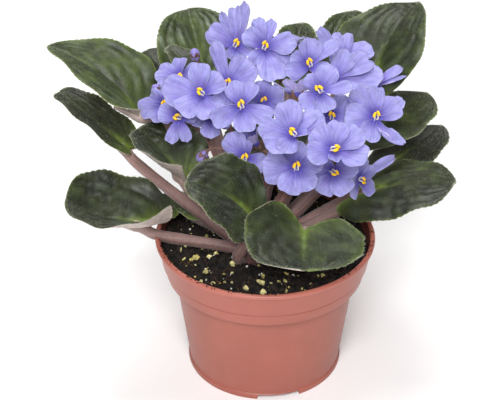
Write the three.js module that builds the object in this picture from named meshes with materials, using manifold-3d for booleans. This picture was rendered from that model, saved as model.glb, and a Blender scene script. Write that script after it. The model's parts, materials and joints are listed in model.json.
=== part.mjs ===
// Potted african violet: a 12 cm terracotta-coloured plastic pot, soil, a rosette of
// heart-shaped leaves on long stalks and a dome of lavender flowers.
// Millimetres, +Z up, the origin on the middle of the pot's base, the front is -Y.
import * as THREE from 'three';
import { mergeVertices } from 'three/addons/utils/BufferGeometryUtils.js';
import Module from 'manifold-3d';

const wasm = await Module();
wasm.setup();

// sizes of the pot
const potHeight = 82;
const rimRadius = 60;
const wall = 1.6;
const footRadius = 43.6;
const footHeight = 3;
const soilHeight = 76;
const gap = 0.3;

// sizes of the plant
const bladeThickness = 1;
const petalThickness = 0.75;
const crownRadius = 9.5;

const colours = {
  terracotta: 0xb87062,
  soil: 0x1f1a18,
  stalk: 0x8c6c68,
  flowerStalk: 0x7d5450,
  leaf: 0x4a5a3c,
  petal: 0xa29ddc,
};

const group = new THREE.Group();
group.name = 'potted_african_violet';

const vec = (x, y, z) => new THREE.Vector3(x, y, z);
const rad = THREE.MathUtils.degToRad;

// one named body, given as a flat list of corners and a list of triangles
function addBody(name, points, triangles, colour, roughness) {
  const geometry = new THREE.BufferGeometry();
  geometry.setAttribute('position', new THREE.Float32BufferAttribute(points, 3));
  geometry.setIndex(triangles);
  geometry.computeVertexNormals();
  const material = new THREE.MeshStandardMaterial({ color: colour, roughness, metalness: 0 });
  const mesh = new THREE.Mesh(geometry, material);
  mesh.name = name;
  group.add(mesh);
}

function addSolid(name, solid, colour, roughness) {
  const mesh = solid.getMesh();
  addBody(name, Array.from(mesh.vertProperties), Array.from(mesh.triVerts), colour, roughness);
}

function toSolid(points, triangles) {
  return new wasm.Manifold(new wasm.Mesh({
    numProp: 3,
    vertProperties: new Float32Array(points),
    triVerts: new Uint32Array(triangles),
  }));
}

// the closed solid of a three.js geometry: one vertex at each corner, no empty triangles
function solidOf(geometry) {
  geometry.deleteAttribute('normal');
  geometry.deleteAttribute('uv');
  const merged = mergeVertices(geometry, 1e-4);
  const points = Array.from(merged.attributes.position.array);
  const index = Array.from(merged.index.array);
  const triangles = [];
  for (let t = 0; t < index.length; t += 3) {
    const [a, b, c] = index.slice(t, t + 3);
    if (a !== b && b !== c && c !== a) triangles.push(a, b, c);
  }
  return toSolid(points, flipIfInside(points, triangles));
}

// a profile of [radius, height] pairs turned about +Z; it starts and ends on the axis
function turned(profile, sides) {
  const outline = profile.map(([radius, height]) => new THREE.Vector2(radius, height));
  return solidOf(new THREE.LatheGeometry(outline, sides).rotateX(Math.PI / 2));
}

// an upright prism over an outline of [x, y] corners
function block(corners, low, high) {
  const shape = new THREE.Shape(corners.map(([x, y]) => new THREE.Vector2(x, y)));
  const prism = new THREE.ExtrudeGeometry(shape, { depth: high - low, bevelEnabled: false });
  return solidOf(prism.translate(0, 0, low));
}

// triangles turned over when they enclose a negative volume
function flipIfInside(points, triangles) {
  let volume = 0;
  for (let t = 0; t < triangles.length; t += 3) {
    const [a, b, c] = [0, 1, 2].map((k) => {
      const i = triangles[t + k] * 3;
      return vec(points[i], points[i + 1], points[i + 2]);
    });
    volume += a.dot(b.cross(c));
  }
  if (volume > 0) return triangles;
  const flipped = [];
  for (let t = 0; t < triangles.length; t += 3) {
    flipped.push(triangles[t], triangles[t + 2], triangles[t + 1]);
  }
  return flipped;
}

// a closed tube along a list of points, with its own radius at each
function tube(path, radii, sides) {
  const points = [];
  const triangles = [];
  let side = vec(0, 0, 0);
  path.forEach((point, k) => {
    const before = path[Math.max(k - 1, 0)];
    const after = path[Math.min(k + 1, path.length - 1)];
    const along = after.clone().sub(before).normalize();
    if (k === 0) {
      const helper = Math.abs(along.z) > 0.8 ? vec(1, 0, 0) : vec(0, 0, 1);
      side = helper.cross(along).normalize();
    }
    side = side.sub(along.clone().multiplyScalar(side.dot(along))).normalize();
    const other = along.clone().cross(side);
    for (let i = 0; i < sides; i++) {
      const angle = (i / sides) * Math.PI * 2;
      const corner = point.clone()
        .addScaledVector(side, radii[k] * Math.cos(angle))
        .addScaledVector(other, radii[k] * Math.sin(angle));
      points.push(corner.x, corner.y, corner.z);
    }
  });
  for (let k = 0; k + 1 < path.length; k++) {
    for (let i = 0; i < sides; i++) {
      const next = (i + 1) % sides;
      const a = k * sides + i;
      const b = k * sides + next;
      triangles.push(a, b, b + sides, a, b + sides, a + sides);
    }
  }
  const last = (path.length - 1) * sides;
  for (let i = 1; i + 1 < sides; i++) {
    triangles.push(0, i + 1, i);
    triangles.push(last, last + i, last + i + 1);
  }
  return toSolid(points, flipIfInside(points, triangles));
}

// points along a smooth curve through the given places
function curve(places, count) {
  return new THREE.CatmullRomCurve3(places).getPoints(count);
}

function fused(solids) {
  return solids.reduce((whole, solid) => whole.add(solid));
}

// half the blade's width at u along the midrib (0 at the stalk, 1 at the tip), as a share
// of the widest: (1 - t^p)^(1/p) past the shoulders, where a larger p is a blunter tip
function bladeWidth(u, blunt) {
  const shoulder = 1 - 0.4 * Math.max(0, (0.3 - u) / 0.3) ** 2;
  const t = Math.max(0, (u - 0.3) / 0.7);
  return shoulder * Math.max(0, 1 - t ** blunt) ** (1 / blunt);
}

// base is where the stalk meets the blade, tip its far end and half is half the width; left
// and right (seen from the base) give each side its fold at the midrib and its further curl
// up to the edge in degrees, then how far its ear reaches back and how far it is lifted
const leaves = [
  { name: 'leaf_01', base: [-67, 57, 128], tip: [-124, 75, 156], half: 23,
    left: [4, 10, 3, 0], right: [24, 14, 13, 0], arch: 6, blunt: 1.45, bend: [-40, 32, 100] },
  { name: 'leaf_02', base: [-77, 38, 112], tip: [-122, 72, 126], half: 18,
    left: [24, 22, 8, 0], right: [8, 22, 8, 2], arch: 1, blunt: 2.4 },
  { name: 'leaf_03', base: [-59, -5, 93], tip: [-108, -2, 105], half: 26,
    left: [4, 14, 15, 12], right: [4, 22, 13, 4], arch: 1, blunt: 2.6 },
  { name: 'leaf_04', base: [-42, 20, 112], tip: [-72, 48, 122], half: 26,
    left: [16, 8, 9, 4], right: [10, 12, 14, 0], arch: 4, blunt: 2.1 },
  { name: 'leaf_05', base: [-8, -26, 108], tip: [-41, -15, 118], half: 26,
    left: [-4, -18, 3, -2], right: [36, 10, 7, 0], arch: 3, blunt: 2.3 },
  { name: 'leaf_06', base: [18, -37, 98], tip: [20, -65, 102], half: 31,
    left: [5, 10, 15, 5], right: [12, 10, 18, 9], arch: 3, blunt: 2.6 },
  { name: 'leaf_07', base: [61, 10, 102], tip: [102, 0, 112], half: 27,
    left: [-2, 8, 20, 0], right: [-8, -3, 22, 0], arch: 2, blunt: 2.1 },
  { name: 'leaf_08', base: [68, 46, 98], tip: [102, 75, 105], half: 21.5,
    left: [8, 10, 11, 0], right: [4, 6, 11, 0], arch: 3, blunt: 2.2 },
  { name: 'leaf_09', base: [60, 50, 114], tip: [93, 70, 127], half: 25,
    left: [6, 12, 11, 0], right: [2, 10, 11, 0], arch: 4, blunt: 2.2 },
  { name: 'leaf_10', base: [61, 62, 139], tip: [88, 111, 169], half: 25,
    left: [10, 12, 12, 0], right: [18, 12, 12, 0], arch: 5, blunt: 1.55, bend: [26, 36, 114] },
  { name: 'leaf_11', base: [44, 88, 129], tip: [54, 130, 155], half: 20,
    left: [10, 14, 9, 0], right: [14, 12, 10, 1], arch: 4, blunt: 2 },
  { name: 'leaf_12', base: [10, 86, 127], tip: [14, 124, 142], half: 13,
    left: [12, 12, 10, 0], right: [12, 12, 10, 0], arch: 4, blunt: 2 },
  { name: 'leaf_13', base: [-33, 84, 125], tip: [-48, 126, 157], half: 27,
    left: [12, 14, 12, 0], right: [12, 14, 12, 0], arch: 4, blunt: 2.1 },
  { name: 'leaf_14', base: [-50, 80, 117], tip: [-72, 113, 137], half: 18,
    left: [12, 12, 9, 0], right: [12, 12, 9, 0], arch: 3, blunt: 2 },
  { name: 'leaf_15', base: [-38, 67.5, 135.5], tip: [-57, 87, 151.5], half: 10,
    left: [12, 12, 9, 0], right: [12, 12, 9, 0], arch: 3, blunt: 2 },
  { name: 'leaf_16', base: [-34, 13, 83.8], tip: [-60, 27, 86.8], half: 10,
    left: [6, 10, 5, 0], right: [6, 10, 5, 0], arch: 1, blunt: 2 },
  { name: 'leaf_17', base: [27, 44, 91], tip: [44, 90, 101], half: 18,
    left: [8, 12, 10, 0], right: [8, 12, 10, 0], arch: 3, blunt: 2 },
  { name: 'leaf_18', base: [-8, 46, 90], tip: [-10, 94, 97], half: 18,
    left: [8, 12, 10, 0], right: [8, 12, 10, 0], arch: 3, blunt: 2 },
];

function leafFrame(leaf) {
  const base = vec(...leaf.base);
  const along = vec(...leaf.tip).sub(base);
  const length = along.length();
  along.normalize();
  const left = vec(0, 0, 1).cross(along).normalize();
  const normal = along.clone().cross(left);
  return { base, along, left, normal, length };
}

// a point of the blade's middle surface: u runs from the stalk to the tip, v from the
// right edge (-1) over the midrib (0) to the left edge (1)
function bladePoint(leaf, frame, u, v) {
  const reach = Math.abs(v);
  const [foldDegrees, curlDegrees, ear, earLift] = v < 0 ? leaf.right : leaf.left;
  const fold = rad(foldDegrees);
  const curl = rad(curlDegrees);
  const arc = bladeWidth(u, leaf.blunt) * reach;
  const across = leaf.half * (Math.sin(fold + curl * arc) - Math.sin(fold)) / curl;
  const rise = leaf.half * (Math.cos(fold) - Math.cos(fold + curl * arc)) / curl
    + earLift * reach ** 1.5 * (1 - u) ** 2;
  const back = ear * Math.sin(0.78 * Math.PI * reach) * (1 - u) ** 2.5;
  const wave = 0.9 * Math.sin(5 * Math.PI * u + 2 * v) * reach ** 3;
  return frame.base.clone()
    .addScaledVector(frame.along, frame.length * u - back)
    .addScaledVector(frame.left, Math.sign(v) * across)
    .addScaledVector(frame.normal, rise + leaf.arch * 4 * u * (1 - u) + wave);
}

function addLeaf(leaf) {
  const rows = [0, 0.12, 0.26, 0.42, 0.58, 0.74, 0.89];
  const columns = [-1, -0.7, -0.35, 0, 0.35, 0.7, 1];
  const frame = leafFrame(leaf);
  const middle = [];
  const normals = [];
  const step = 0.02;
  for (const u of rows) {
    for (const v of columns) {
      const ahead = bladePoint(leaf, frame, u + step, v);
      const behind = bladePoint(leaf, frame, u, v);
      const toLeft = bladePoint(leaf, frame, u, Math.min(v + step, 1));
      const toRight = bladePoint(leaf, frame, u, Math.max(v - step, -1));
      middle.push(behind);
      normals.push(ahead.sub(behind).cross(toLeft.sub(toRight)).normalize());
    }
  }
  middle.push(bladePoint(leaf, frame, 1, 0));
  normals.push(frame.normal.clone());
  const points = [];
  for (const offset of [bladeThickness / 2, -bladeThickness / 2]) {
    middle.forEach((point, i) => {
      const corner = point.clone().addScaledVector(normals[i], offset);
      points.push(corner.x, corner.y, corner.z);
    });
  }
  const wide = columns.length;
  const tip = rows.length * wide;
  const under = tip + 1;
  const face = [];
  for (let r = 0; r + 1 < rows.length; r++) {
    for (let c = 0; c + 1 < wide; c++) {
      const a = r * wide + c;
      face.push([a, a + wide, a + wide + 1], [a, a + wide + 1, a + 1]);
    }
  }
  for (let c = 0; c + 1 < wide; c++) {
    const a = (rows.length - 1) * wide + c;
    face.push([a, tip, a + 1]);
  }
  const outline = [];
  for (let c = 0; c < wide; c++) outline.push(c);
  for (let r = 1; r < rows.length; r++) outline.push(r * wide + wide - 1);
  outline.push(tip);
  for (let r = rows.length - 1; r > 0; r--) outline.push(r * wide);
  const triangles = [];
  for (const [a, b, c] of face) triangles.push(a, b, c, a + under, c + under, b + under);
  outline.forEach((a, i) => {
    const b = outline[(i + 1) % outline.length];
    triangles.push(a, b, b + under, a, b + under, a + under);
  });
  addSolid(leaf.name, toSolid(points, flipIfInside(points, triangles)), colours.leaf, 0.75);
}

const crown = vec(-7, -14, soilHeight);

// a leaf's stalk leaves the crown low, runs to the blade and ends under its midrib
function leafStalk(leaf) {
  const frame = leafFrame(leaf);
  const end = bladePoint(leaf, frame, 3 / frame.length, 0)
    .addScaledVector(frame.normal, -bladeThickness / 2 - gap - 2.3);
  const outward = end.clone().sub(crown).setZ(0).normalize();
  const height = THREE.MathUtils.clamp(3 + (end.z - crown.z) * 0.06, 3.6, 6.5);
  const start = crown.clone().addScaledVector(outward, 4).setZ(crown.z + height - 2.5);
  const leave = crown.clone().addScaledVector(outward, 12).setZ(crown.z + height);
  const bend = (leaf.bend ? vec(...leaf.bend) : null);
  const near = end.clone()
    .addScaledVector(frame.along, -9)
    .addScaledVector(frame.normal, -2.2);
  near.z = Math.max(near.z, crown.z + 3.2);
  const places = bend ? [start, leave, bend, near, end] : [start, leave, near, end];
  const path = curve(places, 6);
  const radii = path.map((p, k) => 2.8 - 0.8 * (k / (path.length - 1)));
  return tube(path, radii, 5);
}

function addStalks() {
  const outline = [[0, -9], [crownRadius, -9], [crownRadius, 1], [9, 7], [7.5, 11], [0, 11]];
  const body = turned(outline, 12).translate([crown.x, crown.y, crown.z]);
  const stalks = fused([body, ...leaves.map(leafStalk)]);
  addSolid('crown_and_leaf_stalks', stalks, colours.stalk, 0.8);
}

// at is the middle of the flower's mouth; facing is its azimuth and elevation and spin its
// turn clockwise, all in degrees; radius is the length of its longest lobe
const flowers = [
  { name: 'flower_01', stem: 1, at: [-34.5, 25, 153.5], facing: [-95, 50],
    spin: 38, radius: 17, cup: 0.24, bend: [-33, 31, 135] },
  { name: 'flower_02', stem: 1, at: [-47, 24, 139.5], facing: [-100, 32],
    spin: 180, radius: 15, bend: [-38, 31, 129] },
  { name: 'flower_03', stem: 1, at: [-56.5, 41, 138.5], facing: [-130, 30],
    spin: 0, radius: 13, bend: [-42, 39, 128] },
  { name: 'flower_04', stem: 2, at: [-49, 58, 147.5], facing: [-130, 60],
    spin: 0, radius: 14, bend: [-34, 53, 137] },
  { name: 'flower_05', stem: 2, at: [-21, 36, 154], facing: [-93, 38],
    spin: 15, radius: 19, bend: [-21, 44, 141] },
  { name: 'flower_06', stem: 2, at: [-17, 67, 162.5], facing: [-95, 45],
    spin: 168, radius: 18.5, bend: [-19, 59, 145] },
  { name: 'flower_07', stem: 5, at: [-13, 15, 151.5], facing: [-90, 40],
    spin: 15, radius: 17, bend: [-4, 14, 132] },
  { name: 'flower_08', stem: 1, at: [-29, 23.5, 133], facing: [-98, 30],
    spin: 0, radius: 12, bend: [-30, 31, 126] },
  { name: 'flower_09', stem: 5, at: [-11, 4, 126], facing: [-95, 25],
    spin: 0, radius: 16, bend: [-3, 9, 120] },
  { name: 'flower_10', stem: 3, at: [-1, 54.5, 167], facing: [-85, 45],
    spin: 30, radius: 17, bend: [1, 48, 157] },
  { name: 'flower_11', stem: 3, at: [-1, 35, 144], facing: [-72, 28],
    spin: 0, radius: 14, bend: [1, 42, 138] },
  { name: 'flower_12', stem: 5, at: [13, 13.5, 160], facing: [100, 62],
    spin: 0, radius: 12, bend: [9, 9, 136] },
  { name: 'flower_13', stem: 4, at: [23, 34.5, 166.5], facing: [-80, 45],
    spin: 35, radius: 16, bend: [30, 42, 148] },
  { name: 'flower_14', stem: 6, at: [27.5, 6.5, 165], facing: [-90, 46],
    spin: 3, radius: 17, bend: [26, 5, 144] },
  { name: 'flower_15', stem: 4, at: [43, 38.5, 157], facing: [-60, 60],
    spin: 0, radius: 16, bend: [40, 42, 143], cup: 0.16 },
  { name: 'flower_16', stem: 4, at: [44, 62, 162], facing: [-60, 65],
    spin: 0, radius: 16, bend: [40, 54, 145] },
  { name: 'flower_17', stem: 4, at: [60.8, 47.2, 149.6], facing: [-30, 50],
    spin: 0, radius: 11.5, bend: [47, 45, 140], cup: 0.16 },
  { name: 'flower_18', stem: 3, at: [13, 70, 163], facing: [80, 70],
    spin: 0, radius: 15, bend: [8, 56, 146] },
  { name: 'flower_19', stem: 6, at: [58, 14, 146], facing: [-80, 35],
    spin: 27, radius: 17, bend: [44, 17, 135] },
  { name: 'flower_20', stem: 6, at: [35, 17, 144.5], facing: [-82, 34],
    spin: 0, radius: 14, bend: [33, 18, 134] },
  { name: 'flower_21', stem: 5, at: [14, -13.5, 150.5], facing: [-95, 58],
    spin: 16, radius: 18, cup: 0.28, bend: [1, 3, 139] },
  { name: 'flower_22', stem: 6, at: [34, -28.5, 150], facing: [-87, 54],
    spin: -18, radius: 17, cup: 0.24, bend: [33, -5, 140] },
  { name: 'flower_23', stem: 5, at: [16, -11, 129.5], facing: [-92, 34],
    spin: 22, radius: 18, bend: [10, 1, 122] },
  { name: 'flower_24', stem: 6, at: [35.5, -8, 125], facing: [-86, 27],
    spin: 187, radius: 14, bend: [34, 6, 125] },
  { name: 'flower_25', stem: 6, at: [50.5, 0.5, 115], facing: [-35, 20],
    spin: 0, radius: 14, bend: [38, 9, 120] },
  { name: 'flower_26', stem: 5, at: [-6, 20, 127], facing: [-85, 20],
    spin: 30, radius: 9, cup: 0.35, bend: [-1, 17, 121] },
];

function flowerFrame(flower) {
  const [azimuth, elevation] = flower.facing.map(rad);
  const level = Math.cos(elevation);
  const out = vec(level * Math.cos(azimuth), level * Math.sin(azimuth), Math.sin(elevation));
  const up = vec(0, 0, 1).addScaledVector(out, -out.z).normalize();
  up.applyAxisAngle(out, -rad(flower.spin));
  return { at: vec(...flower.at), out, up, right: up.clone().cross(out) };
}

// the five lobes, clockwise from the top: two short upper ones and three long lower ones
const lobes = [
  { from: -66, to: 0, length: 0.84 },
  { from: 0, to: 66, length: 0.84 },
  { from: 66, to: 142, length: 1 },
  { from: 142, to: 218, length: 1.04 },
  { from: 218, to: 294, length: 1 },
];

function addFlower(flower, index) {
  const frame = flowerFrame(flower);
  const cup = flower.cup ?? 0.16;
  const edge = [];
  lobes.forEach((lobe, k) => {
    const middle = (lobe.from + lobe.to) / 2;
    const half = (lobe.to - lobe.from) / 2;
    const lift = 0.07 * Math.sin(index * 2.4 + k * 1.9);
    edge.push({
      angle: rad(lobe.from),
      reach: flower.radius * 0.56,
      rise: flower.radius * cup * 0.56 ** 2,
    });
    for (const [share, length, tilt] of [[-0.72, 0.92, -0.05], [0, 1, 0], [0.72, 0.92, 0.05]]) {
      edge.push({
        angle: rad(middle + half * share),
        reach: flower.radius * length * lobe.length,
        rise: flower.radius * (cup * length ** 2 + lift + tilt),
      });
    }
  });
  const rings = [
    edge.map((e) => ({ angle: e.angle, reach: 0.13 * flower.radius, rise: -0.8 })),
    edge.map((e) => ({ angle: e.angle, reach: 0.6 * e.reach, rise: 0.3 * e.rise })),
    edge,
  ];
  const points = [];
  const push = (angle, reach, rise) => {
    const p = frame.at.clone()
      .addScaledVector(frame.up, reach * Math.cos(angle))
      .addScaledVector(frame.right, reach * Math.sin(angle))
      .addScaledVector(frame.out, rise);
    points.push(p.x, p.y, p.z);
  };
  push(0, 0, 1.8);
  rings.forEach((ring) => ring.forEach((e) => push(e.angle, e.reach, e.rise)));
  push(0, 0, -3.5);
  rings.forEach((ring) => ring.forEach((e) => push(e.angle, e.reach, e.rise - petalThickness)));
  const count = edge.length;
  const under = 1 + rings.length * count;
  const face = [];
  for (let i = 0; i < count; i++) {
    const next = (i + 1) % count;
    face.push([0, 1 + i, 1 + next]);
    for (let k = 0; k + 1 < rings.length; k++) {
      const a = 1 + k * count + i;
      const b = 1 + k * count + next;
      face.push([a, a + count, b + count], [a, b + count, b]);
    }
  }
  const triangles = [];
  for (const [a, b, c] of face) triangles.push(a, b, c, a + under, c + under, b + under);
  for (let i = 0; i < count; i++) {
    const a = 1 + (rings.length - 1) * count + i;
    const b = 1 + (rings.length - 1) * count + ((i + 1) % count);
    triangles.push(a, a + under, b + under, a, b + under, b);
  }
  addSolid(flower.name, toSolid(points, flipIfInside(points, triangles)), colours.petal, 0.6);
}

// each stem stands on the crown at its own turn round it and forks behind its flowers
const flowerStems = [
  { name: 'flower_stem_1', turn: 150, fork: [-32, 32, 122] },
  { name: 'flower_stem_2', turn: 100, fork: [-22, 46, 132] },
  { name: 'flower_stem_3', turn: 60, fork: [4, 44, 136] },
  { name: 'flower_stem_4', turn: 20, fork: [38, 44, 134] },
  { name: 'flower_stem_5', turn: 240, fork: [4, 8, 118] },
  { name: 'flower_stem_6', turn: 320, fork: [32, 14, 128] },
];

// closed buds, each on a thin stalk of its own
const buds = [
  { stem: 1, at: [-59.5, 53, 140], facing: [170, 53], bend: [-45, 42, 130], radius: 2.6 },
  { stem: 2, at: [-40, 59, 160], facing: [153, 77], bend: [-31, 52, 145], radius: 2.4 },
  { stem: 5, at: [-32.5, 10.5, 124], facing: [-97, -32], bend: [-14, 10, 122], radius: 2.4 },
];

const tubeLength = 3.5;
const calyxLength = 3.6;

// a flower's own thin stalk and the calyx it ends in, just behind the flower's tube
function flowerStalk(flower, fork) {
  const frame = flowerFrame(flower);
  const back = (distance) => frame.at.clone().addScaledVector(frame.out, -distance);
  const seat = tubeLength + gap;
  const calyx = tube([back(seat + calyxLength), back(seat + 1.8), back(seat)], [0.8, 2.1, 1.4], 4);
  const end = back(seat + calyxLength - 0.3);
  const bend = flower.bend ? vec(...flower.bend) : end.clone().lerp(fork, 0.5);
  const path = curve([fork, bend, end], 4);
  return [calyx, tube(path, path.map(() => 0.8), 4)];
}

function budStalk(bud, fork) {
  const { at, out } = flowerFrame({ ...bud, spin: 0 });
  const back = (share) => at.clone().addScaledVector(out, -share * bud.radius);
  const radii = [0.4, 1, 0.85, 0.25].map((share) => share * bud.radius);
  const path = curve([fork, vec(...bud.bend), back(1.2)], 4);
  return [
    tube([back(1.3), back(0.6), back(-0.5), back(-1.3)], radii, 6),
    tube(path, path.map(() => 0.8), 4),
  ];
}

function addFlowerStem(stem, index) {
  const turn = rad(stem.turn);
  const foot = crown.clone().add(vec(5.5 * Math.cos(turn), 5.5 * Math.sin(turn), 11.5));
  const fork = vec(...stem.fork);
  const lean = fork.clone().sub(foot).setZ(0);
  const knee = foot.clone().addScaledVector(lean, 0.08).setZ(foot.z + 10);
  const main = curve([foot, foot.clone().setZ(foot.z + 3), knee, fork], 6);
  const solids = [tube(main, main.map((p, k) => 1.6 - 0.06 * k), 5)];
  const own = flowers.filter((flower) => flower.stem === index + 1);
  own.forEach((flower) => solids.push(...flowerStalk(flower, fork)));
  const ownBuds = buds.filter((bud) => bud.stem === index + 1);
  ownBuds.forEach((bud) => solids.push(...budStalk(bud, fork)));
  addSolid(stem.name, fused(solids), colours.flowerStalk, 0.7);
}

const potSides = 36;

// the pot's outline: down the inside, over the raised floor and back up the outside
function addPot() {
  const base = footHeight;
  const outside = [
    [0, 0], [12, 0], [13, base], [footRadius - 3.2, base], [footRadius - 2.8, 0], [footRadius, 0],
    [footRadius, base], [footRadius - 0.7, base + 0.5], [50.3, 59.9], [54.4, 59.5], [56, 66.6],
    [56.5, 67], [58.6, 79], [rimRadius, 79.8], [rimRadius, 81.3], [rimRadius - 0.9, potHeight],
  ];
  const inside = [
    [57.8, potHeight], [57.2, 81], [54.8, 67], [52.9, 61.2], [48.9, 61.5], [41.2, base + wall],
    [0, base + wall],
  ];
  let pot = turned([...outside, ...inside], potSides);
  for (const turn of [-79, 41, 161]) {
    pot = pot.subtract(footNotch(turn));
    pot = pot.subtract(drainHole(turn + 20, 33)).subtract(drainHole(turn - 20, 33));
    pot = pot.subtract(drainHole(turn + 60, 26));
  }
  addSolid('pot', pot, colours.terracotta, 0.55);
}

// a wedge that opens the foot ring over 31 degrees
function footNotch(turn) {
  const corners = [];
  for (const [angle, radius] of [[-15.5, 36], [-15.5, 50], [0, 52], [15.5, 50], [15.5, 36]]) {
    const at = rad(turn + angle);
    corners.push([radius * Math.cos(at), radius * Math.sin(at)]);
  }
  return block(corners, -1, footHeight - 0.02);
}

function drainHole(turn, radius) {
  const corners = [];
  for (let i = 0; i < 8; i++) {
    const angle = (i / 8) * Math.PI * 2;
    corners.push([
      radius * Math.cos(rad(turn)) + 3.5 * Math.cos(angle),
      radius * Math.sin(rad(turn)) + 3.5 * Math.sin(angle),
    ]);
  }
  return block(corners, footHeight - 1, footHeight + wall + 1);
}

// soil fills the pot up to a bumpy top with a plain hole for the crown
function addSoil() {
  const low = footHeight + wall + gap;
  let soil = turned([
    [0, low], [40.9, low], [48.5, 61.9], [52.5, 61.6], [54.5, 67.1], [56.2, soilHeight + 1],
    [50, soilHeight + 0.4], [42, soilHeight - 0.6], [34, soilHeight + 0.3], [27, soilHeight - 0.2],
    [0, soilHeight],
  ], potSides);
  const holeRadius = crownRadius + gap;
  const hole = turned([[0, -9 - gap], [holeRadius, -9 - gap], [holeRadius, 9], [0, 9]], 24)
    .translate([crown.x, crown.y, crown.z]);
  addSolid('soil', soil.subtract(hole), colours.soil, 0.95);
}

addPot();
addSoil();
addStalks();
leaves.forEach(addLeaf);
flowerStems.forEach(addFlowerStem);
flowers.forEach(addFlower);

export default group;
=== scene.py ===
# Potted african violet: looks for a terracotta-coloured pot, dark soil, hairy leaves and
# lavender flowers. Lengths below are millimetres and are scaled to metres in makePiece.
import json
import math

import bpy
import numpy as np
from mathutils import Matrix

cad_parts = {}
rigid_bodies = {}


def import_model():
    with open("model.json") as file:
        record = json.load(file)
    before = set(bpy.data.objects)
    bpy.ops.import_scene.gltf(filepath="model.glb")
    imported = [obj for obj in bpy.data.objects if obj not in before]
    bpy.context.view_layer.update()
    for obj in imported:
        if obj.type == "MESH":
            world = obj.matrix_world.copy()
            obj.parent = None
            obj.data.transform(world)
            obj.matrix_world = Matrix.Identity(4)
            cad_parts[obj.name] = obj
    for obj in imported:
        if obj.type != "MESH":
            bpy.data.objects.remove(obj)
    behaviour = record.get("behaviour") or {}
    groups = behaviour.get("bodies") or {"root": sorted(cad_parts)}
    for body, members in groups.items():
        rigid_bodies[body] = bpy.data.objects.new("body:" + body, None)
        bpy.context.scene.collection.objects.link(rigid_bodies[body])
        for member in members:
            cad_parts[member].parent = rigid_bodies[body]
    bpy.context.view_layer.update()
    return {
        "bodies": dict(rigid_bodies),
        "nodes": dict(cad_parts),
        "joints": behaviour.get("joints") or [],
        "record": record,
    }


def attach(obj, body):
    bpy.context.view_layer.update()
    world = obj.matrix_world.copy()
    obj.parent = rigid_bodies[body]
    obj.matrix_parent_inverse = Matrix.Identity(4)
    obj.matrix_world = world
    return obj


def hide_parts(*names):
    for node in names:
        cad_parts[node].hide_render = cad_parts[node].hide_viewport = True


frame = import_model()
metre = 0.001                      # one millimetre in metres
soilHeight = 76
crown = np.array([-7.0, -14.0, soilHeight])


# small shared tools
def linearColour(hexValue):        # sRGB hex to linear, the usual 2.4 power curve
    parts = np.array([int(hexValue[k:k + 2], 16) for k in (1, 3, 5)]) / 255
    return np.where(parts <= 0.04045, parts / 12.92, ((parts + 0.055) / 1.055) ** 2.4)


def palette(settings, *names):     # the named colours of one piece
    return [linearColour(settings[name]) for name in names]


def blendColours(first, second, share):   # first where share is 0, second where it is 1
    share = np.clip(np.asarray(share, float), 0, 1)[..., None]
    return first * (1 - share) + second * share


def layerColours(settings, ground, *layers):   # the ground colour, then each named colour by its share
    colour = linearColour(settings[ground])
    for name, share in layers:
        colour = blendColours(colour, linearColour(settings[name]), share)
    return colour


def bell(distance, width):         # exp(-(distance/width)^2): 1 in the middle, near 0 past the width
    return np.exp(-(distance / width) ** 2)


def crowdedSteps(count, bend):     # from -1 to 1 as sin(bend k)/sin(bend), closer towards both ends
    return np.sin(np.linspace(-1, 1, count) * bend) / math.sin(bend)


def unit(vectors):                 # each vector over its own length
    return vectors / np.maximum(np.linalg.norm(vectors, axis=-1, keepdims=True), 1e-9)


# smooth noise: sine waves about size mm long, each in its own seeded direction, added up and
# divided by the root of half their number
def ripples(points, size, seed, waves=24):
    draw = np.random.default_rng(seed)
    ways = unit(draw.normal(size=(waves, 3)))
    pitch = 2 * np.pi / size * draw.uniform(0.6, 1.6, waves)
    waving = np.sin(points @ (ways * pitch[:, None]).T + draw.uniform(0, 2 * np.pi, waves))
    return waving.sum(-1) / math.sqrt(waves / 2)


def fullTurn(sides):               # the angles of a ring's points
    return np.arange(sides) / sides * 2 * np.pi


def ringPoints(radius, height, turn):   # rings round +Z: radius times cos and sin of the turn
    x, y = radius * np.cos(turn), radius * np.sin(turn)
    return np.stack([x, y, np.broadcast_to(height, x.shape)], -1)


def gridFaces(rows, columns, around=False):   # quads of a rows by columns sheet
    index = np.arange(rows * columns).reshape(rows, columns)
    if around:
        index = np.concatenate([index, index[:, :1]], axis=1)
    return np.stack([index[:-1, :-1], index[1:, :-1], index[1:, 1:], index[:-1, 1:]], -1).reshape(-1, 4)


def fanFaces(centre, ring, flip=False):   # triangles from one point to a closed ring
    following = np.roll(ring, -1)
    ends = (following, ring) if flip else (ring, following)
    return np.stack([np.full(len(ring), centre), *ends], -1)


def closedFaces(rows, sides, flip=False):   # rings joined up, and a fan to a point past each end
    count = rows * sides
    wall = gridFaces(rows, sides, around=True)
    return [wall[:, ::-1] if flip else wall, fanFaces(count, np.arange(sides), flip),
            fanFaces(count + 1, np.arange(count - sides, count), not flip)]


# a closed sheet: its upper grid, its lower grid turned over, and a strip round the rim
def sheetFaces(rows, columns):
    grid = np.arange(rows * columns).reshape(rows, columns)
    rim = np.concatenate([grid[0], grid[1:, -1], grid[-1, -2::-1], grid[-2:0:-1, 0]])
    following = np.roll(rim, -1)
    below = rows * columns
    sheet = gridFaces(rows, columns)
    strip = np.stack([rim, following, following + below, rim + below], -1)
    return [sheet, sheet[:, ::-1] + below, strip[:, ::-1]]


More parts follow.
